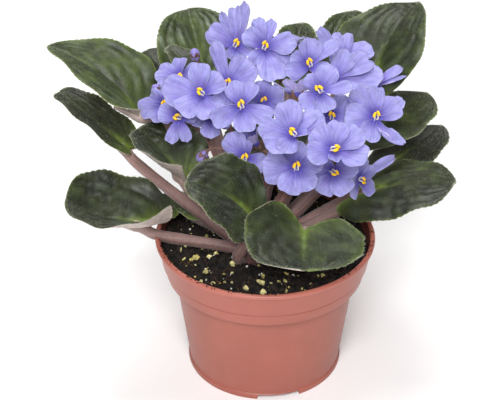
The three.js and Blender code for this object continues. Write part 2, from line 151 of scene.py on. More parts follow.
class Heap:                        # gathers points, faces, colours and grain of one piece
    def __init__(self):
        self.points, self.faces, self.colours, self.rays, self.count = [], [], [], [], 0

    def add(self, points, faces, colour, rays=(0, 0, 0)):
        points = np.asarray(points, float).reshape(-1, 3)
        for group in faces:
            self.faces.extend((group + self.count).tolist())
        self.points.append(points)
        for kept, values in ((self.colours, colour), (self.rays, rays)):
            kept.append(np.broadcast_to(np.asarray(values, float), (len(points), 3)))
        self.count += len(points)

    def addSheet(self, top, under, colours, rays, flip=False):
        faces = [part[:, ::-1] if flip else part for part in sheetFaces(*top.shape[:2])]
        colours, rays = (np.stack(both).reshape(-1, 3) for both in (colours, (rays, rays)))
        self.add(np.stack([top, under]), faces, colours, rays)


# a heap becomes one mesh in metres with its tint and grain, and takes the place of the CAD nodes
def makePiece(name, heap, material, nodes, smooth=True):
    mesh = bpy.data.meshes.new(name)
    points = np.concatenate(heap.points) * metre
    mesh.from_pydata(points, [], heap.faces)
    mesh.polygons.foreach_set("use_smooth", np.full(len(mesh.polygons), smooth))
    tint = mesh.color_attributes.new("tint", "FLOAT_COLOR", "POINT")
    rgba = np.concatenate([np.concatenate(heap.colours), np.ones((len(points), 1))], 1)
    tint.data.foreach_set("color", rgba.astype(np.float32).ravel())
    grain = mesh.attributes.new("grainWay", "FLOAT_VECTOR", "POINT")
    grain.data.foreach_set("vector", np.concatenate(heap.rays).astype(np.float32).ravel())
    mesh.update()
    mesh.materials.append(material)
    piece = bpy.data.objects.new(name, mesh)
    bpy.context.scene.collection.objects.link(piece)
    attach(piece, "root")
    if nodes:
        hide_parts(*nodes)
    return piece


# points along a centripetal Catmull-Rom curve through the given places
def smoothPath(places, count):
    places = np.asarray(places, float)
    ends = np.concatenate([[2 * places[0] - places[1]], places, [2 * places[-1] - places[-2]]])
    where = np.linspace(0, len(places) - 1, count + 1)
    cell = np.minimum(where.astype(int), len(places) - 2)
    share = (where - cell)[:, None]
    a, b, c, d = (ends[cell + k] for k in range(4))
    stepA, stepB, stepC = (np.sqrt(np.linalg.norm(gap, axis=1))[:, None] for gap in (b - a, c - b, d - c))
    leave = ((b - a) / stepA - (c - a) / (stepA + stepB) + (c - b) / stepB) * stepB
    arrive = ((c - b) / stepB - (d - b) / (stepB + stepC) + (d - c) / stepC) * stepB
    return (b + leave * share + (-3 * b + 3 * c - 2 * leave - arrive) * share ** 2
            + (2 * b - 2 * c + leave + arrive) * share ** 3)


# a closed tube: each ring is cos and sin of the turn times the radius, square to the path
def tubeGrid(path, radii, sides):
    ahead = unit(np.gradient(path, axis=0))
    span = path[-1] - path[0]
    level = np.array([-span[1], span[0], 0.0])
    if np.linalg.norm(level) < 0.05 * np.linalg.norm(span):
        level = np.array([1.0, 0.0, 0.0])
    side = unit(level - ahead * (ahead @ level)[:, None])
    other = np.cross(ahead, side)
    turn = fullTurn(sides)
    ring = side[:, None] * np.cos(turn)[None, :, None] + other[:, None] * np.sin(turn)[None, :, None]
    radii = np.asarray(radii, float)
    skin = path[:, None] + ring * radii[:, None, None]
    tips = np.array([path[0] - ahead[0] * radii[0] * 0.4, path[-1] + ahead[-1] * radii[-1] * 0.4])
    return np.concatenate([skin.reshape(-1, 3), tips]), closedFaces(len(path), sides, flip=True), skin, ring


# hairs are slim three-sided spikes from their roots, each bent off its way by a seeded share
def addHairs(heap, roots, ways, lengths, width, colour, draw):
    ways = unit(ways + draw.normal(0, 0.28, ways.shape))
    side = unit(np.cross(ways, draw.normal(size=ways.shape)))
    other = np.cross(ways, side)
    ring = [side, -0.5 * side + 0.87 * other, -0.5 * side - 0.87 * other]
    corners = [roots + edge * width / 2 - ways * 0.05 for edge in ring] + [roots + ways * lengths[:, None]]
    faces = np.array([[0, 2, 1], [0, 1, 3], [1, 2, 3], [2, 0, 3]])
    index = (faces[None] + 4 * np.arange(len(roots))[:, None, None]).reshape(-1, 3)
    heap.add(np.stack(corners, 1), [index], colour)


# hairs on a tube stand on random places between its rings and point straight out
def addTubeHairs(heap, skin, ring, first, count, lengths, width, colour, draw):
    row, column = draw.integers(first, len(skin) - 1, count), draw.integers(0, skin.shape[1], count)
    slide = draw.uniform(0, 1, (count, 1))
    roots = skin[row, column] * slide + skin[row + 1, column] * (1 - slide)
    addHairs(heap, roots, ring[row, column], draw.uniform(*lengths, count), width, colour, draw)


# a shader node with its settings, the values of its inputs and the sockets that feed them
def addNode(tree, kind, settings=None, values=None, links=None):
    node = tree.nodes.new(kind)
    for key, value in (settings or {}).items():
        setattr(node, key, value)
    for key, value in (values or {}).items():
        node.inputs[key].default_value = value
    for key, source in (links or {}).items():
        tree.links.new(source, node.inputs[key])
    return node


# a surface whose colour is the piece's tint, shaded and bumped by layers of noise. The mottle and
# the grain lie in object space and are given as size in mm, share of lightening or darkening, and
# bump strength. Streaks follow the coordinates that the mesh carries along its own grain, and are
# given as bump height in mm, share and bump strength
def tintedMaterial(name, shaderValues, mottle, grain, streak=None):
    material = bpy.data.materials.new(name)
    material.use_nodes = True
    tree = material.node_tree
    shader = tree.nodes["Principled BSDF"]
    for key, value in shaderValues.items():
        shader.inputs[key].default_value = value
    place = addNode(tree, "ShaderNodeTexCoord").outputs["Object"]
    tint = addNode(tree, "ShaderNodeAttribute", {"attribute_name": "tint"}).outputs["Color"]
    # each layer's coordinates, scale, detail, roughness, distortion, how far from a half the noise
    # is read, the share that its light side gets, and its bump's height in mm
    layers = [(mottle, place, 1000 / mottle[0], 3.0, 0.6, 0.0, 0.2, 1.0, mottle[0] * 0.2),
              (grain, place, 1000 / grain[0], 2.0, 0.5, 0.0, 0.2, 1.0, grain[0] * 0.3)]
    if streak:
        way = addNode(tree, "ShaderNodeAttribute", {"attribute_name": "grainWay"}).outputs["Vector"]
        layers.append((streak, way, 1.0, 3.0, 0.6, 0.2, 0.15, 0.6, streak[0]))
    shade, normal = None, {}
    for (_, share, bumpStrength), source, scale, detail, rough, bent, spread, lightSide, height in layers:
        noise = addNode(tree, "ShaderNodeTexNoise", links={"Vector": source}, values={
            "Scale": scale, "Detail": detail, "Roughness": rough, "Distortion": bent}).outputs["Fac"]
        level = addNode(tree, "ShaderNodeMapRange", links={"Value": noise}, values={
            "From Min": 0.5 - spread, "From Max": 0.5 + spread,
            "To Min": 1 - share, "To Max": 1 + lightSide * share}).outputs["Result"]
        shade = level if shade is None else addNode(
            tree, "ShaderNodeMath", {"operation": "MULTIPLY"}, links={0: shade, 1: level}).outputs["Value"]
        bump = addNode(tree, "ShaderNodeBump", values={"Strength": bumpStrength, "Distance": height * metre},
                       links={"Height": noise, **normal})
        normal = {"Normal": bump.outputs["Normal"]}
    colour = addNode(tree, "ShaderNodeVectorMath", {"operation": "SCALE"}, links={0: tint, "Scale": shade})
    tree.links.new(colour.outputs["Vector"], shader.inputs["Base Color"])
    tree.links.new(normal["Normal"], shader.inputs["Normal"])
    return material


# materials
# leaf skin: waxy cells under short white hairs give a soft, slightly frosted green
leafSkin = tintedMaterial("hairy_leaf_skin", {
    "Roughness": 0.4, "IOR": 1.42, "Specular IOR Level": 0.42, "Sheen Weight": 0.08, "Sheen Roughness": 0.4,
    "Sheen Tint": (0.85, 0.9, 0.8, 1)}, mottle=(5.0, 0.1, 0.15), grain=(0.9, 0.2, 0.5), streak=(0.5, 0.2, 0.5))
# petal: thin watery tissue, matte, light glows through it a little
petalSkin = tintedMaterial("violet_petal_tissue", {
    "Roughness": 0.6, "IOR": 1.4, "Specular IOR Level": 0.25, "Subsurface Weight": 0.18,
    "Subsurface Radius": (0.5, 0.4, 1.0), "Subsurface Scale": 0.0015,
    "Sheen Weight": 0.12, "Sheen Roughness": 0.5},
    mottle=(3.0, 0.05, 0.2), grain=(0.5, 0.11, 0.5), streak=(0.45, 0.15, 0.6))
# fleshy stalk: firm, juicy and finely hairy, with a faint shine along it
stalkSkin = tintedMaterial("fleshy_stalk_skin", {
    "Roughness": 0.48, "IOR": 1.42, "Specular IOR Level": 0.4, "Subsurface Weight": 0.12,
    "Subsurface Radius": (1.0, 0.5, 0.4), "Subsurface Scale": 0.001,
    "Sheen Weight": 0.25, "Sheen Roughness": 0.4},
    mottle=(4.0, 0.12, 0.15), grain=(0.8, 0.12, 0.25), streak=(0.35, 0.24, 0.6))
# pollen sac: smooth waxy yellow skin with a small highlight
pollenSkin = tintedMaterial("waxy_pollen_sac", {
    "Roughness": 0.35, "IOR": 1.45, "Subsurface Weight": 0.2, "Subsurface Scale": 0.001},
    mottle=(1.5, 0.06, 0.1), grain=(0.4, 0.03, 0.15))
# plant hair: thin and pale, drawn thicker than the real 0.05 mm so that it shows
hairStuff = tintedMaterial("pale_plant_hair", {"Roughness": 0.5, "IOR": 1.45},
                           mottle=(3.0, 0.02, 0.0), grain=(1.0, 0.02, 0.0))
# moist peat mix: black-brown crumbs that scatter hardly any light
peatStuff = tintedMaterial("moist_peat_mix", {"Roughness": 0.85, "IOR": 1.4, "Specular IOR Level": 0.3},
                           mottle=(4.0, 0.4, 0.7), grain=(1.1, 0.35, 0.8))
# moulded polypropylene: even terracotta red, satin, with a faint orange-peel skin
potPlastic = tintedMaterial("moulded_polypropylene", {"Roughness": 0.42, "IOR": 1.49, "Specular IOR Level": 0.45},
                            mottle=(9.0, 0.035, 0.03), grain=(0.6, 0.02, 0.05))
print("materials made")


# the pot
pot = {
    "sides": 360, "ringPitch": 6,
    "notchTurns": (-79, 41, 161), "notchHalf": 15.5, "footHeight": 3.0, "floorTop": 4.6,
    # drain holes, three after each notch: degrees past the notch and distance from the axis
    "holes": ((20, 33), (-20, 33), (60, 26)), "holeRadius": 3.5, "holeSides": 32,
    # the collar is drawn a touch lighter than the body as painted light, the lip lighter still as a painted
    # highlight, and the inside darker as painted shade
    "body": "#9F5B4D", "collarLight": "#A15B4E", "lipHighlight": "#A96355", "insideShade": "#6E3D33",
    "collarHeight": 59, "lipHeight": 78.6,
    # corners of the outline from the pad under the floor, up the outside, and down the inside,
    # each as radius, height and the radius it is rounded with
    "outline": [
        (12, 0, 0), (13, 3, 0), (40.4, 3, 0.2), (40.8, 0, 0.3), (43.6, 0, 0.5), (43.6, 3, 0.3), (42.9, 3.5, 0.3),
        (49.7, 56.2, 0.2), (49.3, 56.8, 0.2), (50.0, 57.5, 0.2), (50.3, 59.9, 0.8), (54.4, 59.5, 0.5),
        (55.9, 66.1, 0.3), (55.5, 66.6, 0.2), (56.6, 67.1, 0.3), (58.6, 79, 0.5), (60, 79.8, 0.6), (60, 81.3, 0.6),
        (59.1, 82, 0.4), (57.8, 82, 0.4), (57.2, 81, 0.3), (54.8, 67, 0.5), (52.9, 61.2, 0.4), (48.9, 61.5, 0.4),
        (41.2, 4.6, 0.6)],
}


def roundedOutline(corners, steps=4):   # each corner becomes a short quadratic bend
    xy = np.array([c[:2] for c in corners], float)
    done = [xy[:1]]
    share = np.linspace(0, 1, steps + 1)[:, None]
    for before, here, after, (_, _, radius) in zip(xy[:-2], xy[1:-1], xy[2:], corners[1:-1]):
        if radius == 0:
            done.append(here[None])
            continue
        toward, away = unit(before - here), unit(after - here)
        reach = min(radius, 0.45 * np.linalg.norm(before - here), 0.45 * np.linalg.norm(after - here))
        start, end = here + toward * reach, here + away * reach
        done.append((1 - share) ** 2 * start + 2 * share * (1 - share) * here + share ** 2 * end)
    done.append(xy[-1:])
    return np.concatenate(done)


# the pot is its outline carried once round the axis, with long walls cut into more rings
def buildPot():
    outline = roundedOutline(pot["outline"])
    fine = [outline[:1]]
    for a, b in zip(outline[:-1], outline[1:]):
        parts = max(1, int(np.linalg.norm(b - a) / pot["ringPitch"]))
        fine.append(a + (b - a) * (np.arange(1, parts + 1) / parts)[:, None])
    outline = np.concatenate(fine)
    sides, rows, foot = pot["sides"], len(outline), pot["footHeight"]
    turn = fullTurn(sides)
    radius, height = outline[:, :1], outline[:, 1:]
    skin = ringPoints(radius, height, turn)
    # the foot ring's lower edge is lifted to the floor of each notch
    apart = np.abs((np.degrees(turn)[None] - np.array(pot["notchTurns"])[:, None] + 180) % 360 - 180).min(0)
    notched = np.clip((pot["notchHalf"] - apart) / 0.7 + 0.5, 0, 1)[None]
    onFoot = (radius > 30) & (height < foot) & (np.arange(rows)[:, None] < rows / 2)
    skin[..., 2] += np.where(onFoot, (foot - 0.02 - skin[..., 2]) * notched, 0)
    points = np.concatenate([skin.reshape(-1, 3), [[0, 0, 0], [0, 0, pot["floorTop"]]]])
    body, insideShade = palette(pot, "body", "insideShade")
    # painted light: the colour lightens up the collar, and again at the lip as a painted highlight
    colour = layerColours(pot, "body", ("collarLight", (points[:, 2] - pot["collarHeight"]) / 2),
                          ("lipHighlight", (points[:, 2] - pot["lipHeight"]) / 1.2))
    # painted shade: the inner wall and the floor's top are drawn in the darker inside colour
    insideShadeMask = np.append(np.repeat(np.arange(rows) > np.argmax(height) + 6, sides), [False, True])
    colour = np.where(insideShadeMask[:, None], insideShade, colour) * (1 + 0.03 * ripples(points, 40, 3))[:, None]
    heap = Heap()
    heap.add(points, closedFaces(rows, sides, flip=True), colour)
    cutDrainHoles(makePiece("violet_pot", heap, potPlastic, ["pot"]), body, insideShade)


def readRows(items, key, width):   # one property of all points or faces, a row for each
    values = np.empty(len(items) * width, np.float32)
    items.foreach_get(key, values)
    return values.reshape(-1, width)


# drain holes: upright round prisms, two rings each, are taken out of the flat floor
def cutDrainHoles(piece, body, insideShade):
    low, high = pot["footHeight"] - 1, pot["floorTop"] + 1
    prisms = Heap()
    for notch in pot["notchTurns"]:
        for past, reach in pot["holes"]:
            way = math.radians(notch + past)
            rings = ringPoints(np.full((2, 1), pot["holeRadius"]), [[low], [high]], fullTurn(pot["holeSides"]))
            points = np.concatenate([rings.reshape(-1, 3), [[0, 0, low], [0, 0, high]]])
            prisms.add(points + [reach * math.cos(way), reach * math.sin(way), 0],
                       closedFaces(2, pot["holeSides"], flip=True), 0)
    prismMesh = bpy.data.meshes.new("drain_prisms")
    prismMesh.from_pydata(np.concatenate(prisms.points) * metre, [], prisms.faces)
    cutter = bpy.data.objects.new("drain_prisms", prismMesh)
    bpy.context.scene.collection.objects.link(cutter)
    cut = piece.modifiers.new("drain_holes", "BOOLEAN")
    cut.operation, cut.solver, cut.object = "DIFFERENCE", "EXACT", cutter
    mesh = bpy.data.meshes.new_from_object(piece.evaluated_get(bpy.context.evaluated_depsgraph_get()))
    piece.modifiers.clear()
    bpy.data.objects.remove(cutter)
    piece.data, whole = mesh, piece.data
    for spent in (whole, prismMesh):
        bpy.data.meshes.remove(spent)
    mesh.name = piece.name
    # the cut's new points take the colours of the floor's two faces, the upper one in the painted shade of the
    # inside, and the floor is shaded flat
    tint = mesh.color_attributes["tint"].data
    rgba, points = readRows(tint, "color", 4), readRows(mesh.vertices, "co", 3) / metre
    onFloor = (np.hypot(points[:, 0], points[:, 1]) < 38) & (points[:, 2] > low + 0.9)
    rgba[onFloor] = np.where(points[:, 2:] > (low + high) / 2, [*insideShade, 1], [*body, 1])[onFloor]
    tint.foreach_set("color", rgba.ravel())
    x, y, z = readRows(mesh.polygons, "center", 3).T / metre
    flat = (np.hypot(x, y) < 40.5) & (z > low + 0.9) & (z < high - 0.9)
    mesh.polygons.foreach_set("use_smooth", ~flat)
    mesh.update()


buildPot()
print("pot made")


# the soil
soil = {
    "wall": 56.0, "floor": 4.9, "rings": 70, "sides": 200,
    "crumbs": 2600, "flakes": 150, "whites": 80, "fibres": 190,
    "dark": "#131111", "brown": "#2B2420", "flake": "#A79C58", "paleFlake": "#CFC68E", "white": "#DAD6C8",
    "fibre": "#5A3F2C", "lipBit": "#A5713F", "fibreRadius": 0.14, "lipReach": 57.0, "lipWidth": 2.6,
    # the soil's side from its top to the pot's floor, as radius and height
    "outline": ((55.0, 70), (54.3, 67.4), (52.4, 61.7), (48.3, 61.9), (40.7, 4.9), (0.4, 4.9)),
    # crumbs left on the lip: where each drift lies, how far it spreads in degrees and its crumbs
    "drifts": ((205, 20, 90), (238, 20, 110), (-12, 16, 40)),
}


def soilTop(x, y):                 # height of the bumpy surface, highest a little off the wall
    place = np.stack([x, y, np.zeros_like(x)], -1)
    bumps = 0.55 * ripples(place, 14, 11) + 0.4 * ripples(place, 6, 12) + 0.28 * ripples(place, 2.6, 13)
    return soilHeight + 0.2 + np.clip(bumps, -1.3, 1.6)


# lumpy grains: an octahedron cut once, each corner pushed in or out by a seeded share, the whole
# stretched and turned at random
def addGrains(heap, centres, sizes, colours, seed, flat=1.0):
    draw = np.random.default_rng(seed)
    axes = np.array([[1, 0, 0], [-1, 0, 0], [0, 1, 0], [0, -1, 0], [0, 0, 1], [0, 0, -1]], float)
    edges, corners, faces = {}, list(axes), []
    for a, b, c in ((0, 2, 4), (2, 1, 4), (1, 3, 4), (3, 0, 4), (2, 0, 5), (1, 2, 5), (3, 1, 5), (0, 3, 5)):
        mids = []
        for p, q in ((a, b), (b, c), (c, a)):
            key = (min(p, q), max(p, q))
            if key not in edges:
                edges[key] = len(corners)
                corners.append(unit(axes[p] + axes[q]))
            mids.append(edges[key])
        faces += [[a, mids[0], mids[2]], [b, mids[1], mids[0]], [c, mids[2], mids[1]], mids]
    corners, faces, count = np.array(corners), np.array(faces), len(centres)
    turns = unit(draw.normal(size=(count, 1, 4)))      # a random turn as a quaternion, its real part first
    lumps = corners[None] * draw.uniform(0.62, 1.12, (count, len(corners), 1))
    lumps = lumps * (draw.uniform(0.6, 1.25, (count, 1, 3)) * np.array([1, 1, flat]))
    swung = np.cross(turns[..., 1:], lumps)
    lumps = lumps + 2 * (turns[..., :1] * swung + np.cross(turns[..., 1:], swung))
    points = lumps * sizes[:, None, None] + centres[:, None]
    index = (faces[None] + np.arange(count)[:, None, None] * len(corners)).reshape(-1, 3)
    heap.add(points, [index], np.repeat(colours, len(corners), axis=0))


def scatterOnSoil(count, draw, largest):   # even over the disc, clear of the wall
    radius = np.sqrt(draw.uniform(0, 1, count)) * (soil["wall"] - largest)
    turn = draw.uniform(0, 2 * np.pi, count)
    return radius * np.cos(turn), radius * np.sin(turn)


# the soil is a disc of rings at the height of its bumps, its side and its flat floor
def buildSoilBed():
    turn = fullTurn(soil["sides"])
    top = ringPoints(np.linspace(0.4, soil["wall"], soil["rings"])[:, None], 0, turn)
    top[..., 2] = soilTop(top[..., 0], top[..., 1])
    side = np.array(soil["outline"])
    skin = np.concatenate([top, ringPoints(side[:, :1], side[:, 1:], turn)])
    middle = [[0, 0, soilTop(np.zeros(1), np.zeros(1))[0]], [0, 0, soil["floor"]]]
    points = np.concatenate([skin.reshape(-1, 3), middle])
    heap = Heap()
    heap.add(points, closedFaces(len(skin), soil["sides"]),
             layerColours(soil, "dark", ("brown", 0.3 + 0.25 * ripples(points, 5, 14))))
    makePiece("soil_bed", heap, peatStuff, ["soil"])


# crumbs, flakes and white bits lie on the bumps, sunk in by a share of their size
def buildSoilBits(draw):
    heap = Heap()
    x, y = scatterOnSoil(soil["crumbs"], draw, 2)
    size = np.clip(draw.lognormal(-0.35, 0.45, soil["crumbs"]), 0.3, 2.3)
    addGrains(heap, np.stack([x, y, soilTop(x, y) + size * 0.15], -1), size,
              layerColours(soil, "dark", ("brown", draw.uniform(-0.3, 1.1, soil["crumbs"]))), 22)
    lipDraw = np.random.default_rng(26)
    turn = np.concatenate([lipDraw.normal(*drift) for drift in soil["drifts"]]) * np.pi / 180
    reach = soil["lipReach"] + soil["lipWidth"] * lipDraw.uniform(0, 1, len(turn)) ** 2
    size = lipDraw.uniform(0.15, 0.6, len(turn))
    height = np.where(reach > 57.7, 82.0, 80.5) + size * 0.4      # on the lip, or on its inner slope
    tint = layerColours(soil, "dark", ("brown", lipDraw.uniform(0, 1.3, len(turn))),
                        ("lipBit", lipDraw.uniform(-1.6, 1, len(turn))))
    addGrains(heap, np.stack([reach * np.cos(turn), reach * np.sin(turn), height], -1), size, tint, 23)
    makePiece("soil_crumbs", heap, peatStuff, ["soil"], smooth=False)

    heap = Heap()
    x, y = scatterOnSoil(soil["flakes"], draw, 4)
    size = np.clip(draw.lognormal(0.1, 0.5, soil["flakes"]), 0.5, 2.8)
    addGrains(heap, np.stack([x, y, soilTop(x, y) + size * 0.45], -1), size,
              layerColours(soil, "flake", ("paleFlake", draw.uniform(0, 1, soil["flakes"]))), 24, flat=0.7)
    x, y = scatterOnSoil(soil["whites"], draw, 3)
    size = draw.uniform(0.35, 0.9, soil["whites"])
    addGrains(heap, np.stack([x, y, soilTop(x, y) + size * 0.5], -1), size,
              np.tile(linearColour(soil["white"]), (soil["whites"], 1)), 25)
    makePiece("soil_vermiculite", heap, peatStuff, ["soil"], smooth=False)


# root fibres: short arcs, half their length times the way along squared aside, over the bumps
def buildSoilFibres(draw):
    heap = Heap()
    fibre = linearColour(soil["fibre"])
    x, y = scatterOnSoil(soil["fibres"], draw, 5)
    ways, lengths, lifts = (draw.uniform(*span, len(x)) for span in ((0, 2 * np.pi), (2.5, 8), (0.2, 1.4)))
    for px, py, way, length, lift in zip(x, y, ways, lengths, lifts):
        step = np.linspace(-0.5, 0.5, 5)[:, None]
        path = np.array([px, py, 0]) + step * length * np.array([math.cos(way), math.sin(way), 0])
        path[:, :2] += (step ** 2) * length * 0.5 * np.array([-math.sin(way), math.cos(way)])
        path[:, 2] = soilTop(path[:, 0], path[:, 1]) + 0.1 + lift * (0.5 + step[:, 0])
        heap.add(*tubeGrid(path, np.full(5, soil["fibreRadius"]), 4)[:2], fibre * draw.uniform(0.5, 1.5))
    makePiece("soil_fibres", heap, peatStuff, ["soil"])


soilDraw = np.random.default_rng(21)
buildSoilBed()
buildSoilBits(soilDraw)
buildSoilFibres(soilDraw)
print("soil made")


# leaves
# each row: base, tip and half width; each side's fold and curl in degrees, how far its ear reaches
# back and how far it is lifted, left and then right; the arch, how blunt the tip is, how fresh a
# green each side has; and extras: a point the stalk bends through, its ending where that shows,
# its flare at the blade and its tone (paler as its own colour, darker as painted shade under the
# flowers), the blade's bright foot (glow) and its share of painted sheen on the swells
leafKeys = ("base", "tip", "half", "left", "right", "arch", "blunt", "tone")
leafRows = [
    ((-70.9, 55.4, 121.2), (-124.2, 76.4, 156.4), 27.3, (13.7, -15.9, -1.2, 14.6), (32.7, 13.7, 4.1, -4.6),
     7.8, 1.36, (0.6, 0.6), {"bend": (-40, 32, 100), "flare": 0.15, "paintedSheen": 0.24, "stalkToneAndShade": 1.15, "ending": (
         (-57.9, 45, 129.7), (-64.3, 46.5, 127.6), (-71.1, 47.5, 126.7), (-77.6, 46.5, 130.3), (-84.6, 46, 134))}),
    ((-76.5, 38, 112.3), (-119.7, 72.8, 129.1), 13.2, (14, 22.2, 4.4, -1.5), (13.6, 23.1, 4, -0.7),
     0.6, 2.73, (0.3, 0.2), {}),
    ((-63.6, -3.9, 90.7), (-106.6, -5.4, 105.5), 27.8, (10.2, 5.3, 9.7, 19.8), (19.2, 23.2, 15.9, -0.3),
     -3.8, 2.81, (0.2, 0.2), {}),
    ((-43.6, 18.7, 104.9), (-71.1, 43.1, 122), 26.3, (19.1, 17.1, 4, 14.2), (20.2, 12.2, -2.2, 0.5),
     0.2, 1.88, (0.15, 0.3), {"flare": 0.3}),
    ((-8.2, -20.3, 105.8), (-40.9, -19.5, 125.7), 23.7, (2, -15.6, 3.7, -7.4), (29.2, 3.1, 7.6, 1.2),
     4.3, 2.18, (0.22, 0.2), {"glow": 0.1, "paintedSheen": 0.18}),
    ((20, -32.2, 104.7), (19.4, -64.1, 101.3), 30.3, (10.5, -11.9, 3.5, 3.3), (2.8, 11.6, 14.9, 9.2),
     -1.8, 2.73, (0.52, 0.27), {"glow": 0.2, "paintedSheen": 0.03}),
    ((57.6, 11.5, 101.8), (100.9, 0.7, 113.6), 26.8, (-12.1, 24.4, 15.3, -1.6), (-1.3, -14, 18.3, -5.2),
     2.8, 2.06, (0.42, 0.16), {"glow": 0.8, "stalkToneAndShade": 0.7}),
    ((70.4, 44.4, 99.8), (102.1, 74.3, 108.3), 18.4, (-6.9, 1, 14, 0.1), (1.5, 4.7, 10.5, 0.5),
     -0.4, 2.1, (0.05, 0.05), {}),
    ((59.1, 48.5, 117.4), (91.6, 70.6, 131.6), 23.4, (-14.8, 9.4, 3.9, -0.8), (-6.6, 6.7, 11.5, 2.9),
     1.4, 2.35, (0.42, 0.42), {}),
    ((59.6, 67.5, 139), (88.2, 107.7, 171.3), 28.9, (7.6, 20.3, 3.3, -0.3), (19.2, -5.3, 8.6, 1),
     8.2, 1.33, (0.42, 0.42), {"bend": (26, 36, 114), "glow": 0.1}),
    ((43, 89.3, 132.9), (52.6, 129.2, 156.3), 18.4, (10.6, 13.6, 5.7, 0.5), (14.1, 12.5, 6.9, 2.6),
     2.3, 1.83, (0.4, 0.4), {}),
    ((14, 89, 130), (21, 127, 149), 14, (12, 12, 10, 0), (12, 12, 10, 0), 4, 2, (0.5, 0.5), {}),
    ((-35.7, 85.8, 129.8), (-47.6, 125.6, 158.3), 27.1, (11.2, 9.8, 7.2, 1.2), (16.5, 17.1, 6.5, 0.3),
     2.8, 1.88, (0.6, 0.6), {"paintedSheen": 0.9}),
    ((-50, 80, 117), (-72, 113, 137), 18, (12, 12, 9, 0), (12, 12, 9, 0), 3, 2, (0.05, 0.05), {}),
    ((-38, 67.5, 135.5), (-57, 87, 151.5), 10, (12, 12, 9, 0), (12, 12, 9, 0), 3, 2, (0.35, 0.35), {}),
    ((-34, 13, 83.8), (-60, 27, 86.8), 10, (6, 10, 5, 0), (6, 10, 5, 0), 1, 2, (0.8, 0.8), {}),
    ((27, 44, 91), (44, 90, 101), 18, (8, 12, 10, 0), (8, 12, 10, 0), 3, 2, (0.15, 0.15), {}),
    ((-8, 46, 90), (-10, 94, 97), 18, (8, 12, 10, 0), (8, 12, 10, 0), 3, 2, (0.15, 0.15), {}),
]
leaves = [dict(zip(leafKeys, row), name="leaf_%02d" % (k + 1), **extras)
          for k, (*row, extras) in enumerate(leafRows)]

blade = {
    "rows": 66, "columns": 53, "thick": 0.9, "edgeThick": 0.35, "toothPitch": 3.4, "toothDepth": 0.7,
    # each vein's start along the blade, the share of the half width it settles at, how slowly it bends
    "veins": ((0.0, 0.78, 0.24), (0.07, 0.55, 0.28), (0.2, 0.35, 0.32), (0.4, 0.2, 0.36)),
    "veinDepth": 0.28, "midribDepth": 0.6, "pucker": 0.65, "cellDepth": 0.1,
    # the pale grey-green is a painted sheen laid on the swells, and the near-black one is painted shade in the
    # furrows along the veins
    "dark": "#23261C", "green": "#3B4426", "fresh": "#5C6F31", "paintedSheen": "#8B9887", "furrowShade": "#191C0E",
    "vein": "#5B6E2C", "margin": "#7F9440", "base": "#8FAA3F", "under": "#BDAFA7", "underVein": "#C4B5AA",
    "hair": "#A9AE9C", "hairs": 700, "edgeHairs": 320, "hairLength": 1.3, "hairWidth": 0.09, "edgeHairWidth": 0.12,
}


def leafFrame(leaf):               # base, the ways along, to the left and off the face, and the length
    base, tip = np.array(leaf["base"], float), np.array(leaf["tip"], float)
    length = np.linalg.norm(tip - base)
    along = (tip - base) / length
    left = unit(np.cross([0, 0, 1], along))
    return base, along, left, np.cross(along, left), length


def bladeWidth(u, blunt):          # 1 - 0.4((0.3 - u)/0.3)^2 at the shoulder, (1 - t^p)^(1/p) past it
    shoulder = 1 - 0.4 * np.maximum(0, (0.3 - u) / 0.3) ** 2
    t = np.clip((u - 0.3) / 0.7, 0, 1)
    return shoulder * (1 - t ** blunt) ** (1 / blunt)


# the blade's middle surface: each side is an arc of constant curvature from its fold, its
# ear swept back near the stalk, the whole arched lengthwise and waved towards the edge
def bladePoints(leaf, u, v):
    base, along, left, normal, length = leafFrame(leaf)
    reach = np.abs(v)
    sides = np.where((v < 0)[..., None], leaf["right"], leaf["left"])
    fold, curl, ear, earLift = np.radians(sides[..., 0]), np.radians(sides[..., 1]), sides[..., 2], sides[..., 3]
    turn = fold + curl * bladeWidth(u, leaf["blunt"]) * reach
    across = leaf["half"] * (np.sin(turn) - np.sin(fold)) / curl
    rise = leaf["half"] * (np.cos(fold) - np.cos(turn)) / curl + earLift * reach ** 1.5 * (1 - u) ** 2
    back = ear * np.sin(0.78 * np.pi * reach) * (1 - u) ** 2.5
    lift = rise + leaf["arch"] * 4 * u * (1 - u) + 0.9 * np.sin(5 * np.pi * u + 2 * v) * reach ** 3
    return (base + along * (length * u - back)[..., None] + left * (np.sign(v) * across)[..., None]
            + normal * lift[..., None])


# rounded teeth: toothDepth times |sin(pi way / toothPitch)|^0.8 - 0.45 of the way along a rim
def toothHeights(rim):
    way = np.cumsum(np.linalg.norm(np.diff(rim, axis=0, prepend=rim[:1]), axis=-1), axis=0)
    return blade["toothDepth"] * (np.abs(np.sin(np.pi * way / blade["toothPitch"])) ** 0.8 - 0.45)


